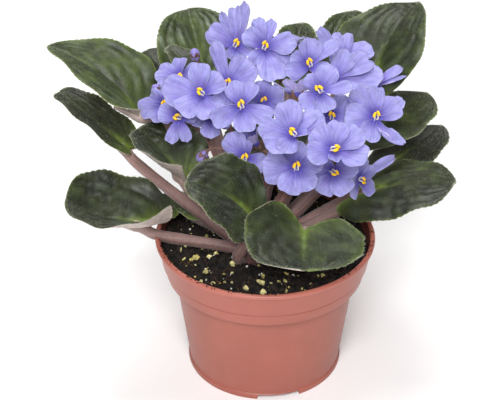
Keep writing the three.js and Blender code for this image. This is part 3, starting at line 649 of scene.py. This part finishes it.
# a blade is its middle surface, toothed at the rim, with half its thickness and its relief on
# either side: the skin swells between the veins, sinks along them and has keels underneath
def buildLeaf(leaf, seed, hairHeap):
    rows, columns = blade["rows"], blade["columns"]
    length = leafFrame(leaf)[-1]
    u = 1 - (1 - np.linspace(0, 0.9933, rows)) ** 1.7       # rows crowd towards the round tip
    u, v = np.meshgrid(u, crowdedSteps(columns, 1.45), indexing="ij")
    reach, run = np.abs(v), u * length
    middle = bladePoints(leaf, u, v)
    ahead, over = (unit(np.gradient(middle, axis=k)) for k in (0, 1))
    facing = unit(np.cross(ahead, over))
    halfWidth = leaf["half"] * bladeWidth(u, leaf["blunt"])
    midrib = reach * halfWidth
    toBack = run + np.maximum(0, 5 - midrib) * 2       # the open notch at the stalk isn't a margin
    toEdge = np.minimum(np.minimum((1 - reach) * halfWidth, (1 - u) * length * 0.8), toBack)

    # a vein leaves the midrib at its start and then follows the edge: its share of the half width
    # is its place times tanh of the way past its start over its bend
    starts, places, bends = np.array(blade["veins"]).T
    past = np.maximum(u[..., None] - starts, 0) / bends
    lines = places * np.tanh(past) + 0.025 * ripples(middle, 26, seed + 20)[..., None] * np.minimum(past, 1)
    slope = places / bends / np.cosh(past) ** 2 * (halfWidth / length)[..., None]
    apart = np.abs(reach[..., None] - lines) * halfWidth[..., None] / np.sqrt(1 + slope ** 2)
    apart = np.where(past > 0, apart, 99).min(-1)
    fade = np.clip(toEdge / 4, 0, 1)
    veined = fade * np.clip(0.65 + 0.35 * ripples(middle, 15, seed + 21), 0.1, 1.1)   # some sink more
    rib = bell(midrib, 1.5) * np.clip((1 - u) * 4, 0, 1)
    puff = (1 - bell(apart, 2.8)) * (1 - bell(midrib, 5)) * veined
    cells = ripples(middle, 5.5, seed + 40)
    relief = (blade["pucker"] * puff - blade["veinDepth"] * bell(apart, 1.0) * veined
              - blade["midribDepth"] * rib + blade["cellDepth"] * cells * fade)

    sideTeeth, backTeeth = toothHeights(middle[:, [0, -1]]), toothHeights(middle[0])
    sideTeeth = np.where(v < 0, sideTeeth[:, :1], sideTeeth[:, 1:]) * reach ** 10
    slant = np.clip((u - 0.75) / 0.25, 0, 1)[..., None]
    outward = unit(over * np.sign(v)[..., None] * (1 - slant) + ahead * slant)
    backTeeth = backTeeth * np.clip(reach * 4 - 1, 0, 1) * (1 - u) ** 40
    toothed = middle + (outward * sideTeeth[..., None] - ahead * backTeeth[..., None])
    half = (blade["edgeThick"] + (blade["thick"] - blade["edgeThick"]) * np.clip(toEdge / 3, 0, 1)) / 2
    keel = 1.3 * bell(midrib, 1.7) * (1 - u) ** 0.6 + 0.45 * bell(apart, 0.9) * fade
    top, under = (toothed + facing * off[..., None] for off in (half + relief, relief * 0.6 - half - keel))

    leftTone, rightTone = leaf["tone"]
    tone = rightTone + (leftTone - rightTone) * (0.5 + 0.5 * np.tanh(v * 6))
    shade = tone + 0.1 * ripples(middle, 16, seed) + 0.06 * cells
    # painted sheen: a pale grey-green laid on the tops of the swells between the veins
    paintedSheenShare = leaf.get("paintedSheen", 0.12) * puff * (0.6 + 0.5 * ripples(middle, 11, seed + 7))
    foot = leaf.get("glow", 0.35) * bell(np.hypot(run, midrib), 9)
    colour = layerColours(blade, "dark", ("green", shade * 1.6), ("fresh", (shade - 0.45) * 1.2),
                          ("base", foot + 0.5 * rib * bell(run, 12)), ("paintedSheen", paintedSheenShare),
                          # painted shade: the furrows along the veins are darkened
                          ("furrowShade", 0.55 * bell(apart, 1.7) * veined),
                          ("vein", 0.5 * rib * bell(run, 14) + 0.04 * rib),
                          ("margin", (0.15 + 0.5 * shade) * bell(toEdge, 0.7)))
    below = layerColours(blade, "under", ("underVein", 0.7 * bell(apart, 1.1) + bell(midrib, 2)))
    grain = np.stack([v * halfWidth * 0.5 + 20 * reach * (1 - u), run * 0.08, np.full_like(u, seed)], -1)
    heap = Heap()
    heap.addSheet(top, under, [colour, below * (1 + 0.08 * cells)[..., None]], grain)
    makePiece(leaf["name"] + "_blade", heap, leafSkin, [leaf["name"]])

    draw = np.random.default_rng(seed + 80)
    hair, count = linearColour(blade["hair"]), blade["hairs"]
    row, column = draw.integers(0, rows - 1, count), draw.integers(0, columns - 1, count)
    share = draw.uniform(0, 1, (count, 1))
    roots = top[row, column] * share + top[row + 1, column + 1] * (1 - share)
    lengths = blade["hairLength"] * draw.uniform(0.5, 1, count)
    ways = facing[row, column] + 0.4 * ahead[row, column]
    addHairs(hairHeap, roots, ways, lengths, blade["hairWidth"], hair, draw)
    count = blade["edgeHairs"]
    row = (1 - draw.uniform(0, 1, count) ** 1.4) * (rows - 1.01)
    column = np.where(draw.uniform(0, 1, count) < 0.5, 0, columns - 1)
    share, row = (row % 1)[:, None], row.astype(int)
    roots = toothed[row, column] * (1 - share) + toothed[row + 1, column] * share
    lengths = blade["hairLength"] * draw.uniform(0.5, 1, count)
    addHairs(hairHeap, roots, outward[row, column], lengths, blade["edgeHairWidth"], hair, draw)


leafHairs = Heap()
for number, leaf in enumerate(leaves):
    buildLeaf(leaf, 100 + number, leafHairs)
makePiece("leaf_hairs", leafHairs, hairStuff, [], smooth=False)
print("leaves made")


# the crown and the leaf stalks
stalk = {
    "rings": 40, "sides": 16, "thick": 3.3, "thin": 2.8, "hairs": 5200,
    "low": "#5F4443", "middle": "#8F736D", "high": "#B5A49D", "hair": "#B8ACA4",
    "hairLengths": (0.6, 1.5), "hairWidth": 0.1, "crownSides": 60,
    # the crown's outline as radius and height
    "crown": ((9.2, -8.9), (9.4, -4), (9.4, 0), (9.3, 2), (9, 4), (8.7, 6), (8.2, 8), (7.2, 10), (5.2, 11.3),
              (1, 11.6)),
}


# a stalk leaves the crown low, runs to its blade and goes on as the midrib's keel
def stalkPlaces(leaf):
    _, along, _, normal, length = leafFrame(leaf)
    meeting = bladePoints(leaf, np.array([3, 10, 18]) / length, np.zeros(3))
    end = meeting[0] - normal * 3.6
    outward = unit((end - crown) * [1, 1, 0])
    height = min(max(3 + (end[2] - crown[2]) * 0.06, 3.6), 6.5)
    near = end - along * 9 - normal * 2.2
    near[2] = max(near[2], crown[2] + 3.2)
    start = [crown + outward * 4 + [0, 0, height - 2.5], crown + outward * 12 + [0, 0, height]]
    bend = [leaf["bend"]] if "bend" in leaf else []
    # the ending of one stalk shows below its blade's near edge
    ending = leaf.get("ending", [near, end, meeting[1] - normal * 3.1, meeting[2] - normal * 2.1])
    return [*start, *bend, *ending]


# stalks taper from thick to thin, widen by their flare at the blade and run out under it
def buildStalks():
    draw = np.random.default_rng(31)
    low, high, hair = palette(stalk, "low", "high", "hair")
    heap, hairHeap = Heap(), Heap()
    share = np.linspace(0, 1, stalk["rings"] + 1)
    for leaf in leaves:
        path = smoothPath(stalkPlaces(leaf), stalk["rings"])
        radii = stalk["thick"] + (stalk["thin"] - stalk["thick"]) * share
        radii = radii * (1 + leaf.get("flare", 0.1) * bell(share - 0.66, 0.08))
        radii = radii * (1 - 0.72 * np.clip((share - 0.68) / 0.32, 0, 1)) * (1 + 0.03 * ripples(path, 12, 32))
        points, faces, skin, ring = tubeGrid(path, radii, stalk["sides"])
        colour = layerColours(stalk, "low", ("middle", share * 2.2), ("high", (share - 0.42) * 3))
        # a stalk's tone makes it paler as its own colour, or darker as painted shade where it lies under the
        # flowers
        colour = colour[:, None] * leaf.get("stalkToneAndShade", 1)
        # painted light and shade: each ring's upper side is drawn up to 12% lighter and its lower side darker; the
        # ripples are the stalk's own blotches
        colour = colour * (1 + 0.12 * ring[..., 2:] + 0.06 * ripples(skin, 7, 33)[..., None])
        rays = ring * 2.2 + (share * stalk["rings"] * 0.12)[:, None, None]
        heap.add(points, faces, np.concatenate([colour.reshape(-1, 3), [low, high]]),
                 np.concatenate([rays.reshape(-1, 3), rays[[0, -1], 0]]))
        addTubeHairs(hairHeap, skin, ring, 3, stalk["hairs"] // len(leaves), stalk["hairLengths"],
                     stalk["hairWidth"], hair, draw)
    # the crown: a squat trunk of leaf bases, its radius rippled as it rises
    radius, height = np.array(stalk["crown"]).T[..., None]
    turn = fullTurn(stalk["crownSides"])
    skin = ringPoints(radius * (1 + 0.05 * np.sin(7 * turn + height * 0.4)), height, turn)
    points = crown + np.concatenate([skin.reshape(-1, 3), [[0, 0, -8.9], [0, 0, 11.7]]])
    heap.add(points, closedFaces(len(height), len(turn), flip=True),
             low * (1 + 0.2 * ripples(points, 5, 34))[:, None])
    makePiece("leaf_stalks", heap, stalkSkin, ["crown_and_leaf_stalks"])
    makePiece("leaf_stalk_hairs", hairHeap, hairStuff, [], smooth=False)


buildStalks()
print("stalks made")


# flowers
# each row: its stem, the middle of its mouth, the azimuth and elevation it faces, its spin
# clockwise in degrees, the radius its lobes are shares of, a point that its own thin stalk bends
# through, its lobes if they aren't the usual five, and extras: cup for how hollow it is and sunk
# for how deep its pollen lies. A lobe is its turn clockwise from the top and half width in
# degrees, its length as a share, and where needed how far it lifts and how it bows aside
flowerKeys = ("stem", "at", "facing", "spin", "radius", "bend", "lobes")
flowerRows = [
    (1, (-34.5, 25, 153.5), (-95, 50), 299, 17, (-33, 31, 135),
     ((50, 46, 0.84), (150, 40, 1.04), (219, 39, 0.98), (267, 39, 1.2), (350, 33, 0.96)), {"cup": 0.24}),
    (1, (-47, 24, 139.5), (-100, 32), 276, 15, (-38, 31, 129),
     ((14, 44, 0.8), (74, 38, 0.7), (152, 19, 0.95), (192, 20, 0.98), (284, 42, 0.78)), {}),
    (1, (-56.5, 41, 138.5), (-130, 30), 337, 13, (-42, 39, 128),
     ((125, 33, 0.95), (199, 43, 0.85), (239, 34, 1.18), (290, 34, 0.85), (358, 46, 0.75)), {"sunk": 1.8}),
    (2, (-49, 58, 147.5), (-130, 60), 0, 14, (-34, 53, 137),
     ((-33, 40, 0.84), (33, 40, 0.84), (104, 42, 1), (180, 40, 1), (256, 42, 1)), {"sunk": 2.6}),
    (2, (-21, 36, 154), (-93, 38), 358, 19, (-21, 44, 141),
     ((51, 46, 0.93), (120, 41, 0.8), (185, 40, 0.8), (254, 41, 0.75), (341, 15, 1.22)), {"sunk": 2}),
    (2, (-17, 67, 162.5), (-95, 45), 29, 18.5, (-19, 59, 145),
     ((9, 13, 1.27), (110, 36, 0.62), (190, 40, 0.5), (295, 32, 0.96), (331, 10, 1.08), (354, 16, 1.14)), {}),
    (5, (-13, 15, 151.5), (-90, 40), 341, 17, (-1, 21, 135),
     ((30, 25, 0.82), (114, 28, 1.05), (169, 36, 0.88), (236, 26, 1.07), (338, 34, 0.8)), {}),
    (1, (-29.1, 26, 139.9), (-98, 30), 0, 12, (-30, 31, 126), (), {"sunk": 2.6}),
    (5, (-11, 4, 126), (-95, 25), 358, 16, (-3, 9, 120),
     ((324, 38, 0.98), (109, 40, 0.76), (177, 40, 0.75), (250, 40, 0.75), (12, 22, 0.6)), {}),
    (3, (-1, 54.5, 167), (-85, 45), 25, 17, (1, 48, 157),
     ((348, 20, 0.97), (83, 34, 1.01), (165, 36, 1.26), (224, 24, 0.73), (308, 34, 0.82), (18, 16, 1, -0.2),
      (122, 20, 1.08, -0.25), (200, 20, 0.9, -0.25)), {}),
    (3, (-1, 35, 144), (-72, 28), 8, 14, (1, 42, 138),
     ((360, 40, 0.82), (70, 40, 0.83), (144, 42, 0.7), (238, 44, 0.95), (308, 36, 0.69)), {"sunk": 2.6}),
    (5, (16, 13.5, 161), (95, 48), 0, 12, (9, 9, 136), (), {"cup": 0.5}),
    (4, (23, 34.5, 166.5), (-80, 45), 341, 16, (30, 42, 148),
     ((11, 39, 0.89), (56, 17, 1.2), (124, 41, 0.75), (249, 29, 0.92), (295, 34, 0.68)), {}),
    (6, (27.5, 6.5, 165), (-90, 46), 326, 17, (26, 5, 144),
     ((317, 34, 0.61), (24, 36, 0.86), (85, 20, 0.98, 0.05), (161, 42, 0.75), (219, 38, 0.8)), {}),
    (4, (37.5, 38.5, 157), (-60, 58), 28, 18, (40, 42, 143),
     ((49, 30, 0.98), (79, 30, 1.21), (108, 34, 1.37), (137, 34, 1.01), (164, 34, 0.54), (323, 30, 0.39)),
     {"cup": 0.2, "sunk": 2}),
    (4, (44, 62, 157.5), (-60, 62), 29, 17, (40, 54, 145),
     ((333, 14, 1.26), (357, 24, 0.9), (29, 22, 0.91), (85, 38, 0.97), (147, 34, 0.61), (270, 30, 0.63)),
     {"cup": 0.2, "sunk": 2}),
    (4, (60.8, 47.2, 149.6), (-75, 60), 55, 13, (47, 45, 140),
     ((67, 17, 1.24), (90, 8, 1.22), (351, 36, 0.8), (267, 40, 0.7), (193, 36, 0.69)), {}),
    (3, (13, 70, 163), (80, 70), 0, 15, (8, 56, 146), (), {}),
    (6, (58, 14, 146), (-80, 35), 5, 17, (44, 17, 135),
     ((2, 28, 0.92), (65, 42, 0.86), (207, 40, 0.83), (268, 42, 1.03), (324, 26, 1.11), (64, 18, 1.03, -0.12),
      (168, 10, 1.2, 0, -28)), {}),
    (6, (35, 17, 144.5), (-82, 34), 4, 14, (33, 18, 134),
     ((0, 36, 0.69), (41, 36, 0.92), (112, 40, 0.71), (222, 40, 0.77), (292, 42, 0.95)), {"sunk": 1.2}),
    (5, (14, -13.5, 150.5), (-95, 58), 308, 18, (1, 3, 139),
     ((344, 36, 0.97), (48, 15, 0.81), (50, 36, 1, -0.15), (82, 30, 0.41), (198, 36, 0.71),
      (228, 34, 0.94), (273, 28, 1)), {"cup": 0.28}),
    (6, (34, -28.5, 150), (-87, 54), 92, 17, (33, -5, 140),
     ((10, 38, 0.85), (58, 38, 0.98), (111, 36, 1.02), (181, 42, 0.43, 0.1), (254, 38, 0.85),
      (315, 42, 0.85)), {"cup": 0.24}),
    (5, (16, -11, 129.5), (-92, 34), 358, 18, (10, 1, 122),
     ((360, 34, 0.75), (47, 30, 0.83, -0.1), (67, 42, 0.79), (146, 38, 0.79), (196, 44, 0.82),
      (263, 40, 0.99), (304, 40, 0.94, -0.1)), {}),
    (6, (35.5, -8, 125), (-86, 27), 130, 14, (34, 6, 125),
     ((72, 42, 0.91), (149, 44, 0.95), (210, 40, 0.95), (309, 40, 0.75), (262, 30, 0.95, -0.1)), {}),
    (6, (50.5, 0.5, 115), (-35, 20), 139, 14, (38, 9, 120),
     ((85, 8, 1.8), (30, 34, 0.85), (82, 26, 0.86), (140, 46, 0.82), (266, 40, 1)), {}),
    (5, (-6.3, 16, 129.7), (172, 48), 30, 8, (2, 12, 122), (), {"cup": 0.9}),
]
flowers = [dict(zip(flowerKeys, row), **extras) for *row, extras in flowerRows]

petal = {
    "rows": 18, "columns": 25, "thick": 0.42, "throat": 1.5, "overlap": 1.14, "notch": 0.5,
    # the usual five lobes
    "lobes": ((-33, 35, 0.84), (33, 35, 0.84), (104, 38, 1.0), (180, 38, 1.04), (256, 38, 1.0)),
    # the tube behind the mouth as radius and height; threads as places to the right, up and out
    "tubeOutline": ((0.3, -3.6), (1.2, -3.5), (1.7, -2.6), (2.0, -1.6), (2.1, -1.0), (1.2, -0.9), (0.3, -0.9)),
    "filamentPath": ((0.3, -1.2, -0.4), (0.8, -1.5, 0.6), (0.95, -0.7, 1.3), (0.7, 0.6, 1.5)),
    "stylePath": ((0, -0.2, -1.0), (0.5, -1.2, 0.6), (1.2, -2.2, 1.6)), 
    "sacRadii": (0.86, 1.65, 0.9), "sacLean": 0.45, "sacAside": 1.05, "sacUp": 1.2, "sacOut": 1.8,
    "filamentRadius": 0.42, "styleRadii": (0.32, 0.24), "veins": 8,
    "face": "#9896CE", "lilac": "#877DC0", "deep": "#473EA0", "rim": "#AAABDB", "back": "#B8AEE4",
    "vein": "#6A62B8", "pollen": "#FFC814", "filament": "#D3CCCB", "style": "#A89AD0", "tube": "#584EA8",
}


# a flower's place, the way out of its mouth, and its up and right after the spin
def flowerFrame(flower, spin=0):
    azimuth, elevation = np.radians(flower["facing"])
    flat = math.cos(elevation)
    out = np.array([flat * math.cos(azimuth), flat * math.sin(azimuth), math.sin(elevation)])
    level = unit(np.array([0, 0, 1.0]) - out * out[2])
    spin = math.radians(spin)
    up = level * math.cos(spin) + np.cross(level, out) * math.sin(spin)
    return np.array(flower["at"], float), out, up, np.cross(up, out)


def addLathe(heap, frame, profile, sides, colour):   # rings of the profile's radius and height
    at, out, up, right = frame
    profile = np.array(profile)
    rings = ringPoints(profile[:, :1], profile[:, 1:], fullTurn(sides)).reshape(-1, 3)
    points = np.concatenate([rings, [[0, 0, profile[0, 1]], [0, 0, profile[-1, 1]]]])
    heap.add(at + points @ np.stack([up, right, out]), closedFaces(len(profile), sides), colour)


def addEgg(heap, centre, axes, radii, colour, rows=9, columns=12):   # radii along each of three axes
    polar = np.linspace(0, np.pi, rows + 2)[1:-1, None]
    rings = ringPoints(np.sin(polar), np.cos(polar), fullTurn(columns)).reshape(-1, 3)
    points = np.concatenate([rings, [[0, 0, 1], [0, 0, -1]]]) * radii
    heap.add(centre + points @ axes, closedFaces(rows, columns), colour)


def addThread(heap, at, axes, places, radii, colour):   # a thin tube through places told along the axes
    path = smoothPath(at + np.array(places) @ axes, len(radii) - 1)
    heap.add(*tubeGrid(path, radii, 8)[:2], colour)
    return path[-1]


# one lobe: rays fan out from the throat, its edge is 1 - notch |t|^3.4 of its length, and it
# rises as cup times the square of the reach plus its lift, tilted like a windmill's sail,
# frilled at the rim and bowed aside by the square of s
def addLobe(heap, frame, flower, lobe, gaps, seed):
    at, out, up, right = frame
    turn, half, share, lift, bow = (*lobe, 0, 0)[:5]
    draw = np.random.default_rng(seed)
    radius = flower["radius"]
    s, t = np.meshgrid(np.linspace(0, 1, petal["rows"]) ** 0.9, crowdedSteps(petal["columns"], 1.3), indexing="ij")
    rounded = 1 - petal["notch"] * np.abs(t) ** 3.4
    wavy = 1 + 0.02 * np.sin(8 * t + draw.uniform(0, 6)) + 0.012 * np.sin(15 * t + draw.uniform(0, 6))
    reach = petal["throat"] + (radius * share * rounded * wavy - petal["throat"]) * s
    spare = np.where(t < 0, gaps[0], gaps[1]) * (1 - s) ** 1.3      # wide at the base, where lobes are joined
    angle = np.radians(turn + bow * s ** 2 + (half * petal["overlap"] * (0.8 + 0.2 * s) + spare) * t)
    phase = draw.uniform(0, 2 * np.pi, 3)
    frill = 0.045 * np.sin(5.2 * t + phase[0]) * s ** 3 + 0.02 * np.sin(11 * t + phase[1]) * s ** 5
    swell = s * (0.04 * np.cos(1.5 * t) * np.sin(np.pi * s) + draw.uniform(-0.13, 0.05) * t ** 2)
    rise = radius * (flower.get("cup", 0.16) * (reach / radius) ** 2 + (lift * rounded + 0.09 * t) * s ** 1.2
                     + frill + swell + 0.02 * np.sin(3 * s + phase[2]) * s) - 1.3 * (1 - s) ** 3
    lying = np.stack([reach * np.cos(angle), reach * np.sin(angle), rise], -1)
    middle = at + lying @ np.stack([up, right, out])
    facing = unit(np.cross(np.gradient(middle, axis=1), np.gradient(middle, axis=0)))
    half = petal["thick"] / 2 * (1 - 0.5 * np.maximum(s, np.abs(t)) ** 6)
    veins = np.abs(np.sin(petal["veins"] * np.pi * (t * 0.5 + 0.5) + 1.2 * np.sin(3 * s)))
    lines = 0.12 * veins ** 0.5 * np.minimum(s * 4, 1)
    relief = 0.05 * (lines * 8 - 0.5) * np.sin(np.pi * np.minimum(s * 1.1, 1))
    tone = (1 + draw.uniform(-0.05, 0.05) + 0.04 * ripples(middle, 7, seed))[..., None]
    colour = layerColours(petal, "lilac", ("face", s * 1.6 - 0.3 + 0.2 * ripples(middle, 9, seed + 1)),
                          ("vein", 0.7 - 6 * lines - 0.2 * s), ("deep", 0.85 * bell(reach - petal["throat"], 4.4)),
                          ("rim", 0.55 * bell(1 - s, 0.05)))
    below = layerColours(petal, "back", ("vein", 0.2 - 1.6 * lines))
    heap.addSheet(middle + facing * (half + relief)[..., None], middle - facing * half[..., None],
                  [colour * tone, below * tone], np.stack([angle * 9, reach * 0.1, np.full_like(s, seed)], -1),
                  flip=True)


# a flower: lobes that each widen at the base to meet the next, and a short tube behind them;
# then two pollen sacs side by side above two curved filaments, and the style beside them
def buildFlower(flower, index):
    name = "flower_%02d" % (index + 1)
    lobes = flower["lobes"] or petal["lobes"]
    heap = Heap()
    frame = flowerFrame(flower, 0 if flower["lobes"] else flower["spin"])
    for k, lobe in enumerate(lobes):
        others = [((other[0] - lobe[0]) % 360, other[1]) for other in lobes
                  if other is not lobe and other[2] > 0.4]
        after, before = min(others), max(others)
        gaps = [np.clip((apart - lobe[1] - wide) / 2 + 6, 0, 50)
                for apart, wide in ((360 - before[0], before[1]), after)]
        addLobe(heap, frame, flower, lobe, gaps, 300 + 7 * index + k)
    frame = flowerFrame(flower, flower["spin"])
    addLathe(heap, frame, petal["tubeOutline"], 14, linearColour(petal["tube"]))
    makePiece(name + "_petals", heap, petalSkin, [name])

    heap = Heap()
    at, out, up, right = frame
    at = at - out * flower.get("sunk", 0)
    axes = np.stack([right, up, out])
    pollen, filament, style = palette(petal, "pollen", "filament", "style")
    size = min(1, 0.55 + flower["radius"] / 38)
    way, thick = 1 if index % 2 else -1, petal["filamentRadius"] * size
    for side in (-1, 1):
        level, rise = math.cos(petal["sacLean"]), side * math.sin(petal["sacLean"])
        lean = [[level, rise, 0], [-rise, level, 0], [0, 0, 1]]
        offset = np.array([side * petal["sacAside"], petal["sacUp"] - 0.4 * side * way, petal["sacOut"]])
        centre = at + offset @ axes * size
        addEgg(heap, centre, lean @ axes, np.array(petal["sacRadii"]) * size, pollen)
        addThread(heap, at, axes * size * [[side], [1], [1]], petal["filamentPath"], np.full(9, thick), filament)
    radii = np.linspace(*petal["styleRadii"], 9) * size
    end = addThread(heap, at, axes * size * [[way], [1], [1]], petal["stylePath"], radii, style)
    addEgg(heap, end, axes, np.full(3, thick), style, 5, 8)
    makePiece(name + "_pollen", heap, pollenSkin, [name])


for number, flower in enumerate(flowers):
    buildFlower(flower, number)
print("flowers made")


# flower stems: each stands on the crown at its own turn and forks behind its flowers
stem = {
    "thick": 1.6, "thin": 1.24, "own": 0.85, "sides": 10, "hairs": 400, "ownHairs": 90,
    "low": "#5E3A36", "high": "#76534C", "calyx": "#6E5044", "bud": "#8E82C6", "hair": "#A89A92",
    # each stem's turn round the crown and the place of its fork
    "stems": ((150, (-32, 32, 122)), (100, (-22, 46, 132)), (60, (4, 44, 136)), (20, (38, 44, 134)),
              (240, (4, 8, 118)), (320, (32, 14, 128))),
    "footReach": 5.5, "footHeight": 11.0, "kneeRise": 10, "calyxEnd": 6.8,
    "buds": [
        {"stem": 1, "at": (-60.6, 50, 142.7), "facing": (170, 53), "bend": (-45, 42, 130), "radius": 2.9},
        {"stem": 2, "at": (-39.5, 59, 159.9), "facing": (153, 77), "bend": (-31, 52, 145), "radius": 3.1},
        {"stem": 5, "at": (-34.1, 10.5, 123.4), "facing": (-150, -38), "bend": (-27.5, 11, 128), "radius": 3.0}],
    # the calyx behind a flower, as radius and height
    "calyxOutline": ((0.3, -7.4), (0.8, -7.3), (1.5, -6.6), (1.9, -5.6), (1.8, -4.4), (1.3, -3.4), (0.3, -3.2)),
}


# five narrow sepals round a stalk's end: each is a leaf shape, its half width sin(pi s)^0.8 of
# the widest, that leaves the axis and bows outwards with s
def addSepals(heap, frame, back, reach, length, colour, wide=1.05):
    at, out, up, right = frame
    s, t = np.meshgrid(np.linspace(0, 0.98, 8), np.linspace(-1, 1, 5), indexing="ij")
    width = wide * np.sin(np.pi * (0.16 + 0.84 * s)) ** 0.8 * t
    away = 0.7 + reach * np.sin(np.pi / 2 * s) - 0.35 * t ** 2
    for turn in 2 * np.pi * (np.arange(5) + 0.5) / 5:
        way, side = up * math.cos(turn) + right * math.sin(turn), right * math.cos(turn) - up * math.sin(turn)
        middle = at + np.stack([away, width, length * s - back], -1) @ np.stack([way, side, out])
        facing = unit(np.cross(np.gradient(middle, axis=0), np.gradient(middle, axis=1))) * 0.2
        points = np.stack([middle + facing, middle - facing]).reshape(-1, 3)
        heap.add(points, sheetFaces(*s.shape), colour * (1 + 0.1 * ripples(points, 3, 55))[:, None])


# a stem's tube: its colour goes from low to high along the path, and short hairs stand on it
def addStemTube(heap, hairHeap, path, radii, low, high, draw, hairs):
    points, faces, skin, ring = tubeGrid(path, radii, stem["sides"])
    colour = blendColours(low, high, np.linspace(0, 1, len(path)))[:, None]
    colour = colour * (1 + 0.1 * ripples(skin, 5, 56)[..., None])
    heap.add(points, faces, np.concatenate([colour.reshape(-1, 3), [low, high]]))
    addTubeHairs(hairHeap, skin, ring, 0, hairs, (0.4, 1.1), 0.09, linearColour(stem["hair"]), draw)


# a stem rises from the crown through a knee to its fork, and from there a thin stalk bends to the
# calyx of each of its flowers and buds
def buildStem(number, turn, fork, hairHeap):
    draw = np.random.default_rng(60 + number)
    low, high, calyx, bud = palette(stem, "low", "high", "calyx", "bud")
    fork = np.array(fork, float)
    turn = math.radians(turn)
    foot = crown + [stem["footReach"] * math.cos(turn), stem["footReach"] * math.sin(turn), stem["footHeight"]]
    knee = foot + (fork - foot) * 0.08
    knee[2] = foot[2] + stem["kneeRise"]
    heap = Heap()
    path = smoothPath([foot, foot + [0, 0, 3], knee, fork], 30)
    radii = np.linspace(stem["thick"], stem["thin"], 31)
    addStemTube(heap, hairHeap, path, radii, low, high, draw, stem["hairs"])
    for own in (each for each in flowers + stem["buds"] if each["stem"] == number):
        frame, size, closed = flowerFrame(own), own["radius"], own in stem["buds"]
        at, out, up, right = frame
        path = smoothPath([fork, own["bend"], at - out * (size * 1.1 if closed else stem["calyxEnd"])], 20)
        addStemTube(heap, hairHeap, path, np.full(21, stem["own"]), high, calyx, draw, stem["ownHairs"])
        if closed:
            addEgg(heap, at, np.stack([right, up, out]), np.array([0.9, 0.9, 1.25]) * size, bud, 12, 16)
            addSepals(heap, frame, size * 1.3, size * 0.75, size * 1.9, calyx, size * 0.55)
        else:
            addLathe(heap, frame, stem["calyxOutline"], 12, calyx)
            reach, length = (4.2, 6.4) if own["facing"][0] > 60 else (1.9, 4.6)      # wider where the back shows
            addSepals(heap, frame, stem["calyxEnd"], reach, length, calyx)
    makePiece("flower_stem_%d_stalks" % number, heap, stalkSkin, ["flower_stem_%d" % number])


stemHairs = Heap()
for number, (turn, fork) in enumerate(stem["stems"]):
    buildStem(number + 1, turn, fork, stemHairs)
makePiece("flower_stem_hairs", stemHairs, hairStuff, [], smooth=False)
print("flower stems made")


# floor, light and camera
studio = {
    "floorColour": "#FDFDFD", "floorHalf": 12.0, "world": 0.2,
    # place, size in metres and power in watts of each soft white light
    "lights": (("key_softbox", (-0.08, -1.15, 1.2), 0.8, 27), ("top_softbox", (-0.1, 0.5, 1.4), 0.9, 14)),
    "cameraPlace": (0.0, -0.5688, 0.4571), "tilt": 31.95, "turn": 0.83,
    "focalPixels": 1247, "pixels": 500, "sensor": 36,
}


def aimAt(holder, target):         # its -Z axis points from its place to the target
    way = np.array(target) - np.array(holder.location)
    level = math.hypot(way[0], way[1])
    holder.rotation_euler = (math.atan2(level, -way[2]), 0, math.atan2(-way[0], way[1]))


def placeObject(name, data, place=(0, 0, 0)):   # the data as an object at its place
    holder = bpy.data.objects.new(name, data)
    holder.location = place
    bpy.context.scene.collection.objects.link(holder)
    return holder


# a pale floor, an even world, two soft lights aimed at the plant, and the camera: its lens is the
# sensor's width times the focal length in pixels over the picture's width
def buildStudio():
    scene = bpy.context.scene
    scene.view_settings.view_transform = "Standard"
    half = studio["floorHalf"]
    mesh = bpy.data.meshes.new("pale_floor")
    corners = [(x * half, y * half, 0) for x, y in ((-1, -1), (1, -1), (1, 1), (-1, 1))]
    mesh.from_pydata(corners, [], [(0, 1, 2, 3)])
    paper = bpy.data.materials.new("matte_studio_paper")   # matte paper, nearly white
    paper.use_nodes = True
    sockets = paper.node_tree.nodes["Principled BSDF"].inputs
    sockets["Base Color"].default_value = (*linearColour(studio["floorColour"]), 1)
    sockets["Roughness"].default_value, sockets["Specular IOR Level"].default_value = 0.9, 0.1
    mesh.materials.append(paper)
    placeObject("pale_floor", mesh)
    world = bpy.data.worlds.new("white_studio")
    world.use_nodes = True
    sky = world.node_tree.nodes["Background"].inputs
    sky["Color"].default_value, sky["Strength"].default_value = (1, 1, 1, 1), studio["world"]
    scene.world = world
    for name, place, size, power in studio["lights"]:
        light = bpy.data.lights.new(name, "AREA")
        light.shape, light.size, light.energy = "DISK", size, power
        aimAt(placeObject(name, light, place), (0, 0, 0.1))
    lens = bpy.data.cameras.new("front_camera")
    lens.sensor_width = studio["sensor"]
    lens.lens = studio["sensor"] * studio["focalPixels"] / studio["pixels"]
    lens.clip_start, lens.clip_end = 0.01, 30
    scene.camera = placeObject("front_camera", lens, studio["cameraPlace"])
    scene.camera.rotation_euler = (math.radians(90 - studio["tilt"]), 0, math.radians(studio["turn"]))


buildStudio()
print("studio made")
